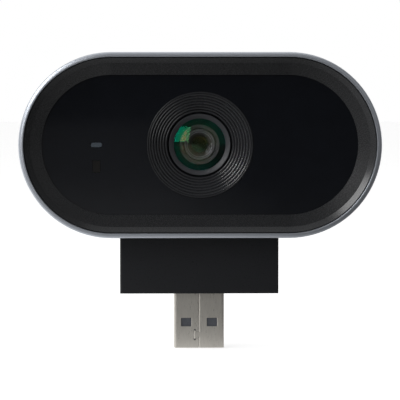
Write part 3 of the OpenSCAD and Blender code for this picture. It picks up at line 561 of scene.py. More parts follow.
# Each finish by the record's material slot, or by a name of its own in the last four rows. A row holds
# the material's name, its colour as an sRGB hex value or as a setting in Colours, its roughness, the
# size and the height of its grain in millimetres, the grain's contrast, and more inputs where it needs
# them. The comment over a row says what the surface is and looks like. A metal keeps the default IOR.
FINISHES = {
    # Silver lacquer on moulded ABS: fine metal flakes under a satin coat, softly bright all round
    "silver_paint": ("silver_lacquer", "shell", 0.36, 0.12, 0.0012, 0.08,
                     {"metallic": 0.85, "Coat_Weight": 0.15, "Coat_Roughness": 0.3}),
    # Spark-textured black ABS: a fine speckle that scatters the lamps into a dull sheen
    "bezel_black": ("textured_abs", "bezel", 0.27, 0.2, 0.006, 0.25, {"IOR": 1.54}),
    # Smoked polycarbonate with a hard coat: almost black, flat and glossy
    "smoked_window": ("smoked_polycarbonate", "window", 0.05, 4, 0, 0.1, {"IOR": 1.45}),
    # Moulded black ABS off a turned tool: satin, and brightest on the crests of its ridges
    "cone_black": ("satin_cone", "cone", 0.22, 0.25, 0.0006, 0.15, {"IOR": 1.54}),
    # Black lacquer on the turned barrel: a soft grey sheen on its lip
    "barrel_black": ("barrel_lacquer", "barrel", 0.44, 0.2, 0.001, 0.1, {"IOR": 1.5}),
    # Polished crown glass whose coating, 0.43 microns thick, reflects green, and blue at a slant
    "coated_glass": ("crown_glass", "FFFFFF", 0.01, 3, 0, 0.0, {
        "IOR": 1.46, "Transmission_Weight": 1.0, "Thin_Film_Thickness": 430, "Thin_Film_IOR": 1.24}),
    # Bead-blasted and anodised aluminium: an even, matte mid grey
    "ring_grey": ("anodised_ring", "ring", 0.5, 0.1, 0.002, 0.1, {"metallic": 0.4}),
    # Frosted polycarbonate at the end of the light guide, dim and bluish when it's unlit
    "guide_clear": ("frosted_guide", "light", 0.4, 0.4, 0.002, 0.15, {"IOR": 1.58}),
    # Matte black ABS with a fine moulded texture
    "neck_black": ("neck_abs", "neck", 0.3, 0.22, 0.003, 0.12, {"Specular_IOR_Level": 0.3}),
    # Nickel plate on rolled steel sheet: warm grey, with faint rolling lines along the plug
    "plug_nickel": ("nickel_plate", "plug", 0.3, 0.6, 0.0006, 0.06, {
        "metallic": 1.0, "stretch": (6, 6, 0.4)}),
    # Glass-filled nylon of the plug's tongue, grey where the lamps reach it through the windows
    "tongue_plastic": ("plug_plastic", "53565D", 0.45, 0.25, 0.004, 0.15, {"IOR": 1.53}),
    # Turned and zinc-plated steel with fine rings from the tool
    "hinge_steel": ("zinc_plated_steel", "A9ABAD", 0.32, 0.5, 0.001, 0.1, {
        "metallic": 1.0, "stretch": (5, 1, 1)}),
    # Black zinc on small steel screws
    "screw_steel": ("black_zinc_steel", "3A3B3D", 0.35, 0.3, 0.002, 0.15, {"metallic": 1.0}),
    # Turned brass, slightly dulled
    "bush_brass": ("turned_brass", "B8985A", 0.3, 0.4, 0.001, 0.1, {"metallic": 1.0}),
    # Tinned steel of the shield can, with a rolled grain
    "can_metal": ("tinned_steel", "B9BBBC", 0.34, 0.8, 0.001, 0.1, {"metallic": 1.0, "stretch": (0.4, 4, 4)}),
    # Rolled aluminium of the heat spreader
    "spreader_metal": ("milled_aluminium", "C3C5C7", 0.35, 0.9, 0.001, 0.08, {
        "metallic": 1.0, "stretch": (0.3, 4, 4)}),
    # Gold flash over nickel on the contacts and the microphones' cans
    "contact_gold": ("gold_flash", "D6B262", 0.22, 0.4, 0.0004, 0.08, {"metallic": 1.0}),
    # Green solder mask over copper, glossy, with its traces faintly paler
    "board_green": ("solder_mask", "1E5A34", 0.35, 1.2, 0, 0.2, {"IOR": 1.5}),
    # Black epoxy of a chip's package, finely blasted
    "chip_black": ("chip_epoxy", "1B1B1D", 0.55, 0.15, 0.004, 0.2, {"IOR": 1.55}),
    # Fired ceramic of the small capacitors, tan and slightly glossy
    "component_ceramic": ("fired_ceramic", "A98A62", 0.3, 0.3, 0.002, 0.25, {"IOR": 1.6}),
    # Black foam tape with open pores of about a tenth of a millimetre
    "tape_black": ("foam_tape", "151516", 0.8, 0.12, 0.02, 0.4),
    # Pale blue silicone pad, soft and waxy
    "pad_blue": ("silicone_pad", "8FB4CC", 0.6, 0.5, 0.006, 0.08),
    # Black moulded rubber, dull
    "boot_rubber": ("moulded_rubber", "1C1C1C", 0.7, 0.2, 0.006, 0.2),
    # Ivory nylon of the small connectors
    "connector_ivory": ("connector_nylon", "E3DAC2", 0.42, 0.5, 0.002, 0.06, {"IOR": 1.53}),
    # Natural nylon of the friction washer, milky white
    "washer_nylon": ("natural_nylon", "E9E6DC", 0.45, 0.4, 0.002, 0.05, {"IOR": 1.53}),
    # Black vinyl of the harness, slightly glossy
    "wire_black": ("wire_vinyl", "19191A", 0.35, 0.5, 0.003, 0.15, {"IOR": 1.52}),
    # White reflector package of the status light
    "led_white": ("led_package", "E8E8E2", 0.4, 0.3, 0.001, 0.05),
    # Pink absorbing glass in front of the sensor
    "filter_glass": ("infrared_filter", "C98A96", 0.03, 2, 0, 0.05, {
        "IOR": 1.52, "Transmission_Weight": 0.8}),
    # Ceramic package of the image sensor with its dark, faintly violet array
    "sensor_package": ("sensor_ceramic", "2A2735", 0.2, 0.2, 0, 0.25, {"IOR": 1.8}),
    # Black liquid-crystal polymer of the lens holder, with short flow lines
    "holder_plastic": ("holder_lcp", "202123", 0.5, 0.6, 0.004, 0.2, {"stretch": (1, 1, 4)}),
    # Matte black ink with a brown cast on the rim of the front glass, which keeps stray light out
    "edge_ink": ("edge_ink", "130706", 0.85, 0.3, 0, 0.1, {"IOR": 1.3}),
    # Polished flint glass of the inner lenses, slightly grey, with a coating that glints teal
    "inner_glass": ("inner_glass", "B4B6B8", 0.01, 3, 0, 0.0, {
        "IOR": 1.62, "Transmission_Weight": 1.0, "Thin_Film_Thickness": 400, "Thin_Film_IOR": 1.24}),
    # Dark amber filter over the light sensor, hardly lighter than the window
    "amber_filter": ("amber_filter", "131210", 0.08, 1, 0, 0.2, {"IOR": 1.5}),
    # Turned aluminium, with painted shade that darkens it into its bore and three painted highlight rings along
    # its step edges
    "baffle_painted_light": ("dyed_aluminium", "baffle", 0.4, 0.1, 0.001, 0.1, {"metallic": 0.3}),
}

# What is added to a finish after its grain
# The baffle's pattern is painted shade and painted highlights; the board's traces are its real pattern
PATTERNS = {"baffle_painted_light": paint_baffle_shade_and_highlights, "board_green": lay_traces}

MADE = {}  # the finishes that are in use so far, by their rows


def finish_of(slot):
    """The finish of a row of the table, made on its first use."""
    if slot not in MADE:
        colours = bpy.context.scene.webcam_colours
        name, code, roughness, grain, relief, contrast, *more = FINISHES[slot]
        tone = getattr(colours, code) if hasattr(colours, code) else linear(code)
        inputs = more[0] if more else {}
        made = surface(name, tone, roughness, grain * MM, relief * MM, contrast, **inputs)
        if slot in PATTERNS:
            PATTERNS[slot](made.node_tree, made.node_tree.nodes["Principled BSDF"])
        MADE[slot] = made
    return MADE[slot]


# Pieces of the head


def pocket_form(name, neck, grow):
    """The space that the neck takes in the head over its whole tilt, grown by a wall."""
    radius = NECK_HIGH.y + neck.pocket_gap + grow
    half = NECK_HIGH.x + neck.pocket_gap + grow
    rear = (math.cos(math.radians(TILT_UP)), math.sin(math.radians(TILT_UP)))
    front = (-math.cos(math.radians(TILT_DOWN)), math.sin(math.radians(TILT_DOWN)))
    outline = arc((HINGE.y, HINGE.z), radius, TILT_UP, 180 - TILT_DOWN, 48)
    outline.append((radius * front[0] - HEAD_R * front[1], HINGE.z + radius * front[1] + HEAD_R * front[0]))
    outline.append((radius * rear[0] + HEAD_R * rear[1], HINGE.z + radius * rear[1] - HEAD_R * rear[0]))
    return extruded(name, [(-half, y, z) for y, z in outline], (2 * half, 0, 0))


class WEBCAM_OT_shell(bpy.types.Operator):
    """Builds the silver shell: a cup with a rounded rim, the neck's pocket and the microphone ports"""

    bl_idname = "webcam.shell"
    bl_label = "Shell"

    def execute(self, context):
        sizes = context.scene.webcam_head
        neck = context.scene.webcam_neck
        inner_r = HEAD_R - sizes.rim_width
        crest = sizes.edge_round * 3
        back = sizes.back_round
        inside = HEAD_R - sizes.shell_wall
        ledge_r = BEZEL_R - sizes.ledge_reach
        ledge_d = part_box("bezel_gasket")[1].y - FRONT
        shell = swept("shell", [
            (0, HEAD_DEPTH - sizes.shell_wall),
            *arc((HEAD_R - back, HEAD_DEPTH - back), back - sizes.shell_wall, 90, 0, 6),
            (inside, ledge_d + sizes.ledge_wall + inside - ledge_r),
            (ledge_r, ledge_d + sizes.ledge_wall),
            (ledge_r, ledge_d),
            (inner_r, ledge_d),
            *arc((inner_r + crest, crest), crest, 180, 270, 4),
            *arc((HEAD_R - sizes.rim_round, sizes.rim_round), sizes.rim_round, 270, 360, 12),
            *arc((HEAD_R - back, HEAD_DEPTH - back), back, 0, 90, 16),
            (0, HEAD_DEPTH),
        ])
        walls = pocket_form("walls", neck, neck.pocket_wall)
        room = swept("room", [
            (0, ledge_d), (HEAD_R - sizes.shell_wall / 2, ledge_d),
            (HEAD_R - sizes.shell_wall / 2, HEAD_DEPTH - sizes.shell_wall / 2),
            (0, HEAD_DEPTH - sizes.shell_wall / 2),
        ])
        combine(walls, room, "INTERSECT")
        combine(shell, walls, "UNION")
        combine(shell, pocket_form("pocket", neck, 0))
        reach = NECK_HIGH.x + neck.pocket_gap
        for side in (-1, 1):
            start = HINGE + Vector((side * (reach - OVER / 2), 0, 0))
            drill(shell, start, (side * 3 * OVER, 0, 0), sizes.hinge_hole)
            start = (side * sizes.port_reach, FRONT + sizes.port_depth, SHELL_HIGH.z - 2 * sizes.shell_wall)
            drill(shell, start, (0, 0, 3 * sizes.shell_wall), sizes.port_radius)
        soften(shell, sizes.edge_round * 4, angle=40)
        finish(shell, "head", "silver_paint", "rear_shell")
        return {"FINISHED"}


class WEBCAM_OT_bezel(bpy.types.Operator):
    """Builds the black bezel with its smooth bevel and the fine steps that run down to the window"""

    bl_idname = "webcam.bezel"
    bl_label = "Bezel"

    def execute(self, context):
        sizes = context.scene.webcam_head
        land = BEZEL_R - sizes.land_width
        bevel = land - sizes.bevel_width
        top = BEZEL_D + sizes.bevel_drop
        steps = []
        for i in range(sizes.step_count):
            depth = top + (i + 1) * sizes.step_drop
            steps += [(bevel - i * sizes.step_tread, depth), (bevel - (i + 1) * sizes.step_tread, depth)]
        seat = PANEL_D - 2 * GAP
        edge = PANEL_R + 3 * GAP
        foot = edge + sizes.foot_width
        outline = [
            (BEZEL_R, BEZEL_BACK), (BEZEL_R, BEZEL_D + sizes.land_drop),
            (land, BEZEL_D + sizes.land_drop), (land, BEZEL_D), (bevel, top),
            *steps,
            (steps[-1][0], seat), (edge, seat), (edge, PANEL_BACK),
            (foot, PANEL_BACK), (foot, seat),
            (BEZEL_R - sizes.wall_top, seat - sizes.bevel_drop / 2), (BEZEL_R - sizes.wall_foot, BEZEL_BACK),
        ]
        bezel = swept("bezel", outline)
        soften(bezel, sizes.edge_round)
        finish(bezel, "head", "bezel_black", "bezel")
        return {"FINISHED"}


class WEBCAM_OT_window(bpy.types.Operator):
    """Builds the flat smoked window with its hole for the cone and its openings for light"""

    bl_idname = "webcam.window"
    bl_label = "Window"

    def execute(self, context):
        sizes = context.scene.webcam_lens
        window = swept("window", [(0, PANEL_D), (PANEL_R, PANEL_D), (PANEL_R, PANEL_BACK), (0, PANEL_BACK)])
        front, back = FRONT + PANEL_D - OVER, FRONT + PANEL_BACK + OVER
        drill(window, (0, front, HEAD_Z), (0, back - front, 0), sizes.cone_radius + GAP, FINE)
        # Merges the hole's corners with those of the middle line, so that the rounding leaves no crack
        apply_modifier(window, "WELD", merge_threshold=SAME)
        soften(window, sizes.window_round, angle=40)
        for low, high, rounded in ((LIGHT_LOW, LIGHT_HIGH, True), (SENSE_LOW, SENSE_HIGH, False)):
            slot = box("slot", (low.x - GAP, front, low.z - GAP), (high.x + GAP, back, high.z + GAP))
            if rounded:
                bevel_edges(slot, "y", (high.z - low.z) / 2 - GAP, 8)
            combine(window, slot)
        shade(window, 40)
        apply_modifier(window, "WEIGHTED_NORMAL", weight=100, keep_sharp=True)
        finish(window, "head", "smoked_window", "window_panel")
        return {"FINISHED"}


class WEBCAM_OT_cone(bpy.types.Operator):
    """Builds the black cone round the lens with its rounded ridges and its raised outer lip"""

    bl_idname = "webcam.cone"
    bl_label = "Lens cone"

    def execute(self, context):
        sizes = context.scene.webcam_lens
        inner = BARREL_R + sizes.cone_gap
        outer = sizes.cone_radius - sizes.cone_lip
        top = PANEL_D + sizes.cone_proud
        low = top + sizes.cone_drop
        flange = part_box("funnel_adhesive")[1].y - FRONT
        samples = 10 * sizes.ridge_count
        ridges = []
        for i in range(samples + 1):
            share = i / samples
            wave = abs(math.sin(math.pi * share * sizes.ridge_count))
            fall = share * sizes.cone_drop + wave * sizes.ridge_height
            ridges.append((inner + share * (outer - inner), low - fall))
        lip = sizes.cone_proud / 2
        crest = PANEL_D - sizes.cone_proud + lip
        start = outer + sizes.lip_step
        back = flange + sizes.flange_wall
        outline = [
            (inner, CONE_BACK), *ridges,
            (outer + GAP, top - GAP), (start, crest),
            *arc((start + lip, crest), lip, 180, 270, 4)[1:],
            *arc((sizes.cone_radius - lip, crest), lip, 270, 360, 4),
            (sizes.cone_radius, flange), (CONE_FLANGE_R, flange), (CONE_FLANGE_R, back),
            (sizes.cone_radius, back), (inner + sizes.wall, low + sizes.wall),
            (inner + sizes.wall, CONE_BACK),
        ]
        cone = turned("cone", outline, FINE)
        shade(cone, 35)
        finish(cone, "head", "cone_black", "lens_funnel")
        return {"FINISHED"}


CROWN_STEPS = 13  # corners across the barrel's lip
CROWN_CURVE = 1.15  # 1 makes the lip a plain cone, and more makes it hollow


class WEBCAM_OT_barrel(bpy.types.Operator):
    """Builds the barrel, whose lip falls inwards to the front glass"""

    bl_idname = "webcam.barrel"
    bl_label = "Lens barrel"

    def execute(self, context):
        sizes = context.scene.webcam_lens
        lip = sizes.lip_round
        seat = GLASS_R + GAP
        floor = RING_D + sizes.ink_gap
        tube = seat - sizes.tube_step
        stop = RING_R - sizes.stop_width
        stop_front = BARREL_BACK - sizes.stop_wall
        crown = []
        for i in range(CROWN_STEPS):
            share = i / CROWN_STEPS
            fall = (1 - share) ** CROWN_CURVE * sizes.lip_fall
            crown.append((seat + share * (BARREL_R - lip - seat), BARREL_D + fall))
        outline = [
            (seat, floor), (seat, BARREL_D + lip + sizes.lip_fall),
            *crown,
            *arc((BARREL_R - lip, BARREL_D + lip), lip, 270, 360, 8),
            (BARREL_R, CONE_BACK), (tube, CONE_BACK), (tube, BARREL_BACK), (stop, BARREL_BACK),
            (stop, stop_front), (RING_R + GAP, stop_front), (RING_R + GAP, floor),
        ]
        barrel = turned("barrel", outline, FINE)
        shade(barrel, 35)
        finish(barrel, "head", "barrel_black", "lens_barrel")
        return {"FINISHED"}


class WEBCAM_OT_glass(bpy.types.Operator):
    """Builds the domed front glass, a meniscus that is hollow at its back"""

    bl_idname = "webcam.glass"
    bl_label = "Front glass"

    def execute(self, context):
        sizes = context.scene.webcam_lens
        edge = GLASS_BACK - sizes.glass_rim
        dome = edge - GLASS_D
        front = self.cap(GLASS_R, dome, GLASS_D, 24)
        back = self.cap(RING_R, dome / 2, GLASS_BACK - dome / 2, 24)
        glass = turned("front_glass", [*front, (GLASS_R, GLASS_BACK), *reversed(back)])
        shade(glass, 35)
        finish(glass, "head", "coated_glass", "front_lens")
        return {"FINISHED"}

    def cap(self, half, height, depth, steps):
        """Points of a shallow cap from its middle to its edge."""
        radius = (half * half + height * height) / (2 * height)
        reach = math.degrees(math.asin(half / radius))
        return [(r, depth + radius - d) for d, r in arc((0, 0), radius, 0, reach, steps)]


class WEBCAM_OT_rings(bpy.types.Operator):
    """Builds the grey ring under the glass, the stepped baffle in its bore and the inked rim round it"""

    bl_idname = "webcam.rings"
    bl_label = "Lens rings"

    def execute(self, context):
        sizes = context.scene.webcam_lens
        bore = BAFFLE_R + sizes.baffle_gap
        outline = [
            (RING_R, RING_D), (RING_R, RING_BACK), (bore - sizes.ring_slant, RING_BACK),
            (bore, RING_D + sizes.ring_fall), (RING_R - 2 * GAP, RING_D),
        ]
        ring = turned("ring", outline)
        soften(ring, sizes.ring_round)
        finish(ring, "head", "ring_grey", "lens_ring")
        steps = [(BAFFLE_R, RING_BACK)]
        rise = (RING_BACK - RING_D) / 4
        for i in range(3):
            depth = RING_D + i * rise + GAP
            fall = rise * 1.25 if i == 2 else 0  # only the innermost step slopes, down to its bore
            steps += [(BAFFLE_R * BAFFLE_STEPS[i], depth), (BAFFLE_R * BAFFLE_STEPS[i + 1], depth + fall)]
        steps.append((BAFFLE_R * BAFFLE_STEPS[-1], RING_BACK))
        baffle = turned("baffle", steps)
        soften(baffle, sizes.ring_round)
        # Its finish has painted shade into the bore and painted highlights on the step edges
        finish(baffle, "head", "ring_grey", "lens_baffle", look="baffle_painted_light")
        front, back = RING_D - GAP, RING_D + GAP
        inner = RING_R + GAP / 5
        outline = [(inner, front), (GLASS_R, front), (GLASS_R, back), (inner, back)]
        ink = turned("ink", outline)
        finish(ink, "head", "barrel_black", look="edge_ink")
        return {"FINISHED"}


# Pieces of the neck and the plug


SHANK_SHARE = 0.6  # a screw's hole, as a share of its head


class WEBCAM_OT_neck(bpy.types.Operator):
    """Builds the neck: a block with a half-round top, split into its front and its screwed cover"""

    bl_idname = "webcam.neck"
    bl_label = "Neck"

    def execute(self, context):
        sizes = context.scene.webcam_neck
        body = self.form(sizes, "neck")
        hollow = self.outline("hollow", NECK_HIGH.x - sizes.end_wall, NECK_HIGH.y - sizes.wall, sizes.wall)
        combine(body, hollow)
        cover = self.form(sizes, "cover")
        space = box(
            "space", (-NECK_HIGH.x * 2, COVER_LOW.y, COVER_LOW.z), (NECK_HIGH.x * 2, NECK_HIGH.y * 2, HEAD_Z)
        )
        apply_modifier(cover, "BOOLEAN", operation="INTERSECT", solver="EXACT", object=space)
        combine(body, space)
        hole = box(
            "plug_hole", (PLUG_LOW.x - sizes.plug_gap, PLUG_LOW.y - sizes.plug_gap, -OVER),
            (PLUG_HIGH.x + sizes.plug_gap, PLUG_HIGH.y + sizes.plug_gap, sizes.wall * 2),
        )
        bevel_edges(hole, "z", sizes.plug_corner, 6)
        combine(body, hole)
        for side, radius in ((-1, sizes.pin_bore), (1, sizes.trunnion_bore)):
            start = HINGE + Vector((side * (NECK_HIGH.x - 3 * OVER), 0, 0))
            drill(body, start, (side * 4 * OVER, 0, 0), radius)
        screw_low, screw_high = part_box("cover_screws")
        head = (screw_high.z - screw_low.z) / 2
        for side in (-1, 1):
            level = (screw_high.z + screw_low.z) / 2
            start = Vector((side * (screw_high.x - head), COVER_LOW.y - OVER, level))
            drill(cover, start, (0, 4 * OVER, 0), head * SHANK_SHARE)
            start.y = NECK_HIGH.y - sizes.sink
            drill(cover, start, (0, 2 * OVER, 0), head + sizes.sink_gap)
        for piece, node in ((body, "neck_housing"), (cover, "neck_cover")):
            soften(piece, sizes.foot_round, 3, 40)
            finish(piece, "neck", "neck_black", node)
        return {"FINISHED"}

    def outline(self, name, half_width, half_depth, foot):
        """A block between two end planes, with a half-round top about the hinge."""
        points = [(half_depth, foot), *arc((0, HINGE.z), half_depth, 0, 180, 48), (-half_depth, foot)]
        return extruded(name, [(-half_width, y, z) for y, z in points], (2 * half_width, 0, 0))

    def form(self, sizes, name):
        """The neck's outer form with its rounded upright edges."""
        form = self.outline(name, NECK_HIGH.x, NECK_HIGH.y, NECK_LOW.z)
        bevel_edges(form, "z", sizes.corner_round, 5, HINGE.z - OVER)
        return form


NOTCH_SHARE = 0.75  # how far along the dovetail the notches are


class WEBCAM_OT_plug(bpy.types.Operator):
    """Builds the plug's folded nickel shell with its windows, its seam and its tapered tip"""

    bl_idname = "webcam.plug"
    bl_label = "Plug shell"

    def execute(self, context):
        sizes = context.scene.webcam_neck
        top = PLUG_HIGH.z - sizes.leg_length
        shell = box("plug_shell", PLUG_LOW, (PLUG_HIGH.x, PLUG_HIGH.y, top))
        bevel_edges(shell, "z", sizes.plug_corner, 6)
        bpy.ops.object.mode_set(mode="EDIT")
        bpy.ops.mesh.select_all(action="SELECT")
        tip = PLUG_LOW.z + sizes.tip_chamfer
        bpy.ops.mesh.bisect(plane_co=(0, 0, tip), plane_no=(0, 0, 1))
        select_corners(shell, lambda place: place.z < PLUG_LOW.z + SAME)
        shares = [1 - sizes.tip_chamfer / (2 * side) for side in (PLUG_HIGH.x, PLUG_HIGH.y)]
        bpy.ops.transform.resize(value=(shares[0], shares[1], 1), center_override=(0, 0, PLUG_LOW.z))
        for level in (PLUG_LOW.z, top):
            select_corners(shell, lambda place: abs(place.z - level) < SAME)
            bpy.ops.mesh.delete(type="ONLY_FACE")
        bpy.ops.object.mode_set(mode="OBJECT")
        apply_modifier(shell, "SOLIDIFY", thickness=sizes.sheet, offset=-1, use_even_offset=True)
        for side in (-1, 1):
            middle = Vector((side * sizes.window_reach, 0, PLUG_LOW.z + sizes.window_rise))
            half = Vector((sizes.window_width / 2, PLUG_HIGH.y * 2, sizes.window_height / 2))
            cutter = box("window_cutter", middle - half, middle + half)
            bevel_edges(cutter, "y", sizes.window_round, 3)
            combine(shell, cutter)
            ends = sorted((side * PLUG_HIGH.x, side * (PLUG_HIGH.x - sizes.sheet)))
            wide = sizes.leg_width / 2
            leg = box("leg", (ends[0], -wide, top - OVER), (ends[1], wide, PLUG_HIGH.z))
            combine(shell, leg, "UNION")
        combine(shell, self.seam(sizes, top))
        across = sizes.seam_x - sizes.dovetail_length * NOTCH_SHARE
        for side in (-1, 1):
            level = PLUG_LOW.z + sizes.dovetail_rise + side * sizes.dovetail_head / 2
            start = (across, PLUG_LOW.y - OVER, level)
            drill(shell, start, (0, OVER + sizes.sheet + 2 * GAP, 0), sizes.notch_radius, 24)
        self.roll_edges(shell, sizes, top)
        soften(shell, sizes.sheet_round, angle=17)
        finish(shell, "neck", "plug_nickel", "usb_shell")
        return {"FINISHED"}

    def roll_edges(self, shell, sizes, top):
        """Slopes the sheared edges that face left, as the press rolls them, so that they shine."""
        middle = PLUG_LOW.z + sizes.dovetail_rise
        root, head = sizes.dovetail_root / 2, sizes.dovetail_head / 2
        right = sizes.seam_x + sizes.seam_width / 2
        runs = [
            (right, middle + root, top, sizes.edge_roll),
            (right, PLUG_LOW.z, middle - root, sizes.edge_roll),
            (right - sizes.dovetail_length, middle - head, middle + head, sizes.edge_roll),
        ]
        for side in (-1, 1):
            edge = side * sizes.window_reach + sizes.window_width / 2
            low = PLUG_LOW.z + sizes.window_rise - sizes.window_height / 2
            runs.append((edge, low, low + sizes.window_height, sizes.edge_roll / 2))
        for x, low, high, width in runs:
            wedge = box("wedge", (-width, -width, low), (0, 0, high))
            wedge.rotation_euler.z = -sizes.roll_slope
            wedge.location = (x + width * math.cos(sizes.roll_slope), PLUG_LOW.y, 0)
            bpy.ops.object.transform_apply()
            combine(shell, wedge)

    def seam(self, sizes, top):
        """The gap between the sheet's two edges, with the dovetail that locks them."""
        middle = PLUG_LOW.z + sizes.dovetail_rise
        root, head = sizes.dovetail_root / 2, sizes.dovetail_head / 2
        near, far = sizes.seam_x, sizes.seam_x - sizes.dovetail_length
        path = [
            (near, top + OVER), (near, middle + root), (far, middle + head),
            (far, middle - head), (near, middle - root), (near, PLUG_LOW.z - OVER),
        ]
        seam = draw_line("seam", [Vector((x, PLUG_LOW.y - OVER / 2, z)) for x, z in path])
        bpy.ops.mesh.extrude_edges_move(TRANSFORM_OT_translate={"value": (0, OVER, 0)})
        close_up()
        apply_modifier(seam, "SOLIDIFY", thickness=sizes.seam_width, offset=0, use_even_offset=True)
        return seam


# Camera, lamps and floor


# Each lamp's direction from the head, and the width of its square in metres
LAMPS = {
    "key": ((-0.74, -0.23, 0.61), 0.5),
    "top": ((0, 0.15, 1), 0.6),
    "front": ((-0.53, -0.79, 0.31), 0.45),
    "fill": ((0.64, -0.72, 0.25), 1.0),
}
LAMP_DISTANCE = 0.9


def facing(way):
    """The turn of a camera or a lamp that looks against a direction."""
    return way.to_track_quat("Z", "Y").to_euler()


# How bright the surroundings are from ahead of the webcam, 0, to behind it, 1, and what that is
# multiplied by at the left and at the right, as the camera sees it
SKY_FADE = ((0.03, 0.05), (0.12, 0.28), (0.5, 0.36), (0.97, 1))
SKY_LEFT, SKY_RIGHT = 1.45, 0.42

# How the floor's brightness changes along an axis, between two places in metres: near the webcam, ahead
# of it and across it
FLOOR_FADES = {
    "near": ("Y", -0.04, 0.0, 0, 1),
    "ahead": ("Y", -0.1, -0.01, 0.32, 0.52),
    "across": ("X", 0.0, 0.06, 1, 0.22),
}

# What the floor's glow and its tone are worked out from, step by step. The camera sees it plain white,
# and what mirrors in the webcam fades.
FLOOR_STEPS = (
    ("mirrored", "MAXIMUM", "Is Glossy Ray", "Is Transmission Ray"),
    ("faded", "MULTIPLY", "mirrored", "near"),
    ("sided", "MULTIPLY", "faded", "across"),
    ("seen", "MAXIMUM", "Is Camera Ray", "sided"),
    ("glow", "MULTIPLY", "seen", 0.58),
    ("flagged", "MULTIPLY", "ahead", "across"),
    ("plain", "MULTIPLY", "Is Camera Ray", 0.8),
    ("tone", "MAXIMUM", "flagged", "plain"),
)


class WEBCAM_OT_stage(bpy.types.Operator):
    """Adds the camera at the photograph's angle, the soft lamps, the white floor and the surroundings"""

    bl_idname = "webcam.stage"
    bl_label = "Stage"

    def execute(self, context):
        sizes = context.scene.webcam_stage
        target = Vector((sizes.aim_x, 0, sizes.aim_z))
        way = Vector((
            math.sin(sizes.turn) * math.cos(sizes.rise),
            -math.cos(sizes.turn) * math.cos(sizes.rise),
            math.sin(sizes.rise),
        ))
        deselect()
        bpy.ops.object.camera_add(location=target + way * sizes.distance, rotation=facing(way))
        camera = context.object
        camera.name = camera.data.name = "camera"
        camera.data.lens = sizes.focal
        camera.data.clip_start = 10 * MM
        context.scene.camera = camera
        for name, (towards, size) in LAMPS.items():
            way = Vector(towards).normalized()
            deselect()
            place = Vector((0, 0, HEAD_Z)) + way * LAMP_DISTANCE
            bpy.ops.object.light_add(type="AREA", location=place, rotation=facing(way))
            lamp = context.object
            lamp.name = lamp.data.name = name + "_lamp"
            lamp.data.size = size
            lamp.data.energy = getattr(sizes, name + "_power")
        self.add_floor(sizes)
        self.add_world(context.scene)
        context.scene.view_settings.view_transform = "Standard"
        return {"FINISHED"}

    def add_floor(self, sizes):
        """A white floor just under the plug's tip, which keeps the webcam's shadow."""
        deselect()
        bpy.ops.mesh.primitive_plane_add(size=sizes.floor_width, location=(0, 0, PLUG_LOW.z - GAP))
        floor = name_piece("floor")
        material = bpy.data.materials.new("white_floor")
        material.use_nodes = True
        tree = material.node_tree
        shader = tree.nodes["Principled BSDF"]
        shader.inputs["Roughness"].default_value = 0.9
        shader.inputs["Emission Color"].default_value = grey(1)
        place = add_node(tree, "ShaderNodeTexCoord").outputs["Object"]
        axes = add_node(tree, "ShaderNodeSeparateXYZ", links={"Vector": place}).outputs
        found = dict(add_node(tree, "ShaderNodeLightPath").outputs.items())
        for name, (axis, start, end, low, high) in FLOOR_FADES.items():
            fade = add_node(
                tree, "ShaderNodeMapRange",
                values={"From Min": start, "From Max": end, "To Min": low, "To Max": high},
                links={"Value": axes[axis]},
            )
            found[name] = fade.outputs["Result"]
        for name, operation, *inputs in FLOOR_STEPS:
            step = add_node(tree, "ShaderNodeMath", {"operation": operation})
            for socket, given in zip(step.inputs, inputs):
                if given in found:
                    tree.links.new(found[given], socket)
                else:
                    socket.default_value = given
            found[name] = step.outputs["Value"]
        tree.links.new(found["glow"], shader.inputs["Emission Strength"])
        tree.links.new(found["tone"], shader.inputs["Base Color"])
        floor.data.materials.append(material)

    def add_world(self, scene):
        """White behind the webcam, and dimmer towards the camera, as in a studio."""
        world = bpy.data.worlds.new("studio")
        world.use_nodes = True
        scene.world = world
        tree = world.node_tree
        shader = tree.nodes["Background"]
        shader.inputs["Color"].default_value = grey(1)
        path = add_node(tree, "ShaderNodeLightPath")
        place = add_node(tree, "ShaderNodeTexCoord").outputs["Generated"]
        axes = add_node(tree, "ShaderNodeSeparateXYZ", links={"Vector": place}).outputs
        share = add_node(
            tree, "ShaderNodeMapRange", values={"From Min": -1, "From Max": 1}, links={"Value": axes["Y"]}
        )
        fade = add_node(tree, "ShaderNodeValToRGB", links={"Fac": share.outputs["Result"]})
        ramp = fade.color_ramp.elements
        for share_back, _ in SKY_FADE[1:-1]:
            ramp.new(share_back)
        for element, (share_back, level) in zip(ramp, SKY_FADE):
            element.position, element.color = share_back, grey(level)
        side = add_node(
            tree, "ShaderNodeMapRange",
            values={"From Min": -1, "From Max": 1, "To Min": SKY_LEFT, "To Max": SKY_RIGHT},
            links={"Value": axes["X"]},
        )
        shaded = add_node(
            tree, "ShaderNodeMath", {"operation": "MULTIPLY"},
            links={0: fade.outputs["Color"], 1: side.outputs["Result"]},
        )
        strength = add_node(
            tree, "ShaderNodeMath", {"operation": "MAXIMUM"},
            links={0: shaded.outputs["Value"], 1: path.outputs["Is Camera Ray"]},
        )
        tree.links.new(strength.outputs["Value"], shader.inputs["Strength"])


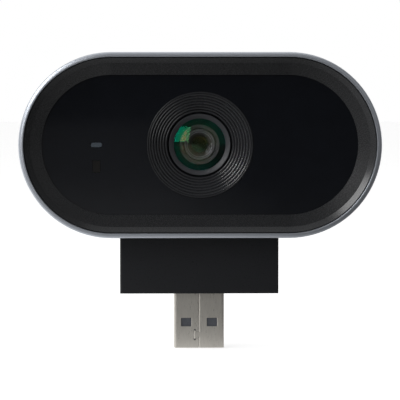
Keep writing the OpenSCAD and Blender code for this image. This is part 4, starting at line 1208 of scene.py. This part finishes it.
class WEBCAM_OT_carried(bpy.types.Operator):
    """Gives the pieces that carry on from the CAD model their finishes, by their material slots"""

    bl_idname = "webcam.carried"
    bl_label = "Inner pieces"

    def execute(self, context):
        slots = {part["node"]: part["material_slot"] for part in frame["record"]["subparts"]}
        slots.update(sensor_guide="amber_filter", inner_lens="inner_glass", rear_lens="inner_glass")
        for name, piece in frame["nodes"].items():
            piece.data.materials.clear()
            piece.data.materials.append(finish_of(slots[name]))
        return {"FINISHED"}


# Panel and registration


PIECES = (
    WEBCAM_OT_carried,
    WEBCAM_OT_shell,
    WEBCAM_OT_bezel,
    WEBCAM_OT_window,
    WEBCAM_OT_cone,
    WEBCAM_OT_barrel,
    WEBCAM_OT_glass,
    WEBCAM_OT_rings,
    WEBCAM_OT_neck,
    WEBCAM_OT_plug,
    WEBCAM_OT_stage,
)

SETTINGS = {
    "webcam_head": HeadSizes,
    "webcam_lens": LensSizes,
    "webcam_neck": NeckSizes,
    "webcam_colours": Colours,
    "webcam_stage": StageSizes,
}


class WEBCAM_PT_build(bpy.types.Panel):
    """Lists the pieces and their sizes"""

    bl_idname = "WEBCAM_PT_build"
    bl_label = "Webcam"
    bl_space_type = "VIEW_3D"
    bl_region_type = "UI"
    bl_category = "Webcam"

    def draw(self, context):
        for kind in PIECES:
            self.layout.operator(kind.bl_idname)
        for name in SETTINGS:
            settings = getattr(context.scene, name)
            column = self.layout.box().column()
            for key in settings.bl_rna.properties.keys():
                if key not in {"rna_type", "name"}:
                    column.prop(settings, key)


CLASSES = (*SETTINGS.values(), *PIECES, WEBCAM_PT_build)


def register():
    """Adds the settings, the operators and the panel."""
    for kind in CLASSES:
        bpy.utils.register_class(kind)
    for name, kind in SETTINGS.items():
        setattr(bpy.types.Scene, name, PointerProperty(type=kind))


def unregister():
    """Takes out what register() added."""
    for name in SETTINGS:
        delattr(bpy.types.Scene, name)
    for kind in reversed(CLASSES):
        bpy.utils.unregister_class(kind)


def main():
    """Builds every piece and the stage."""
    register()
    bpy.ops.webcam.carried()
    bpy.ops.webcam.shell()
    bpy.ops.webcam.bezel()
    bpy.ops.webcam.window()
    bpy.ops.webcam.cone()
    bpy.ops.webcam.barrel()
    bpy.ops.webcam.glass()
    bpy.ops.webcam.rings()
    bpy.ops.webcam.neck()
    bpy.ops.webcam.plug()
    bpy.ops.webcam.stage()


if __name__ == "__main__":
    main()
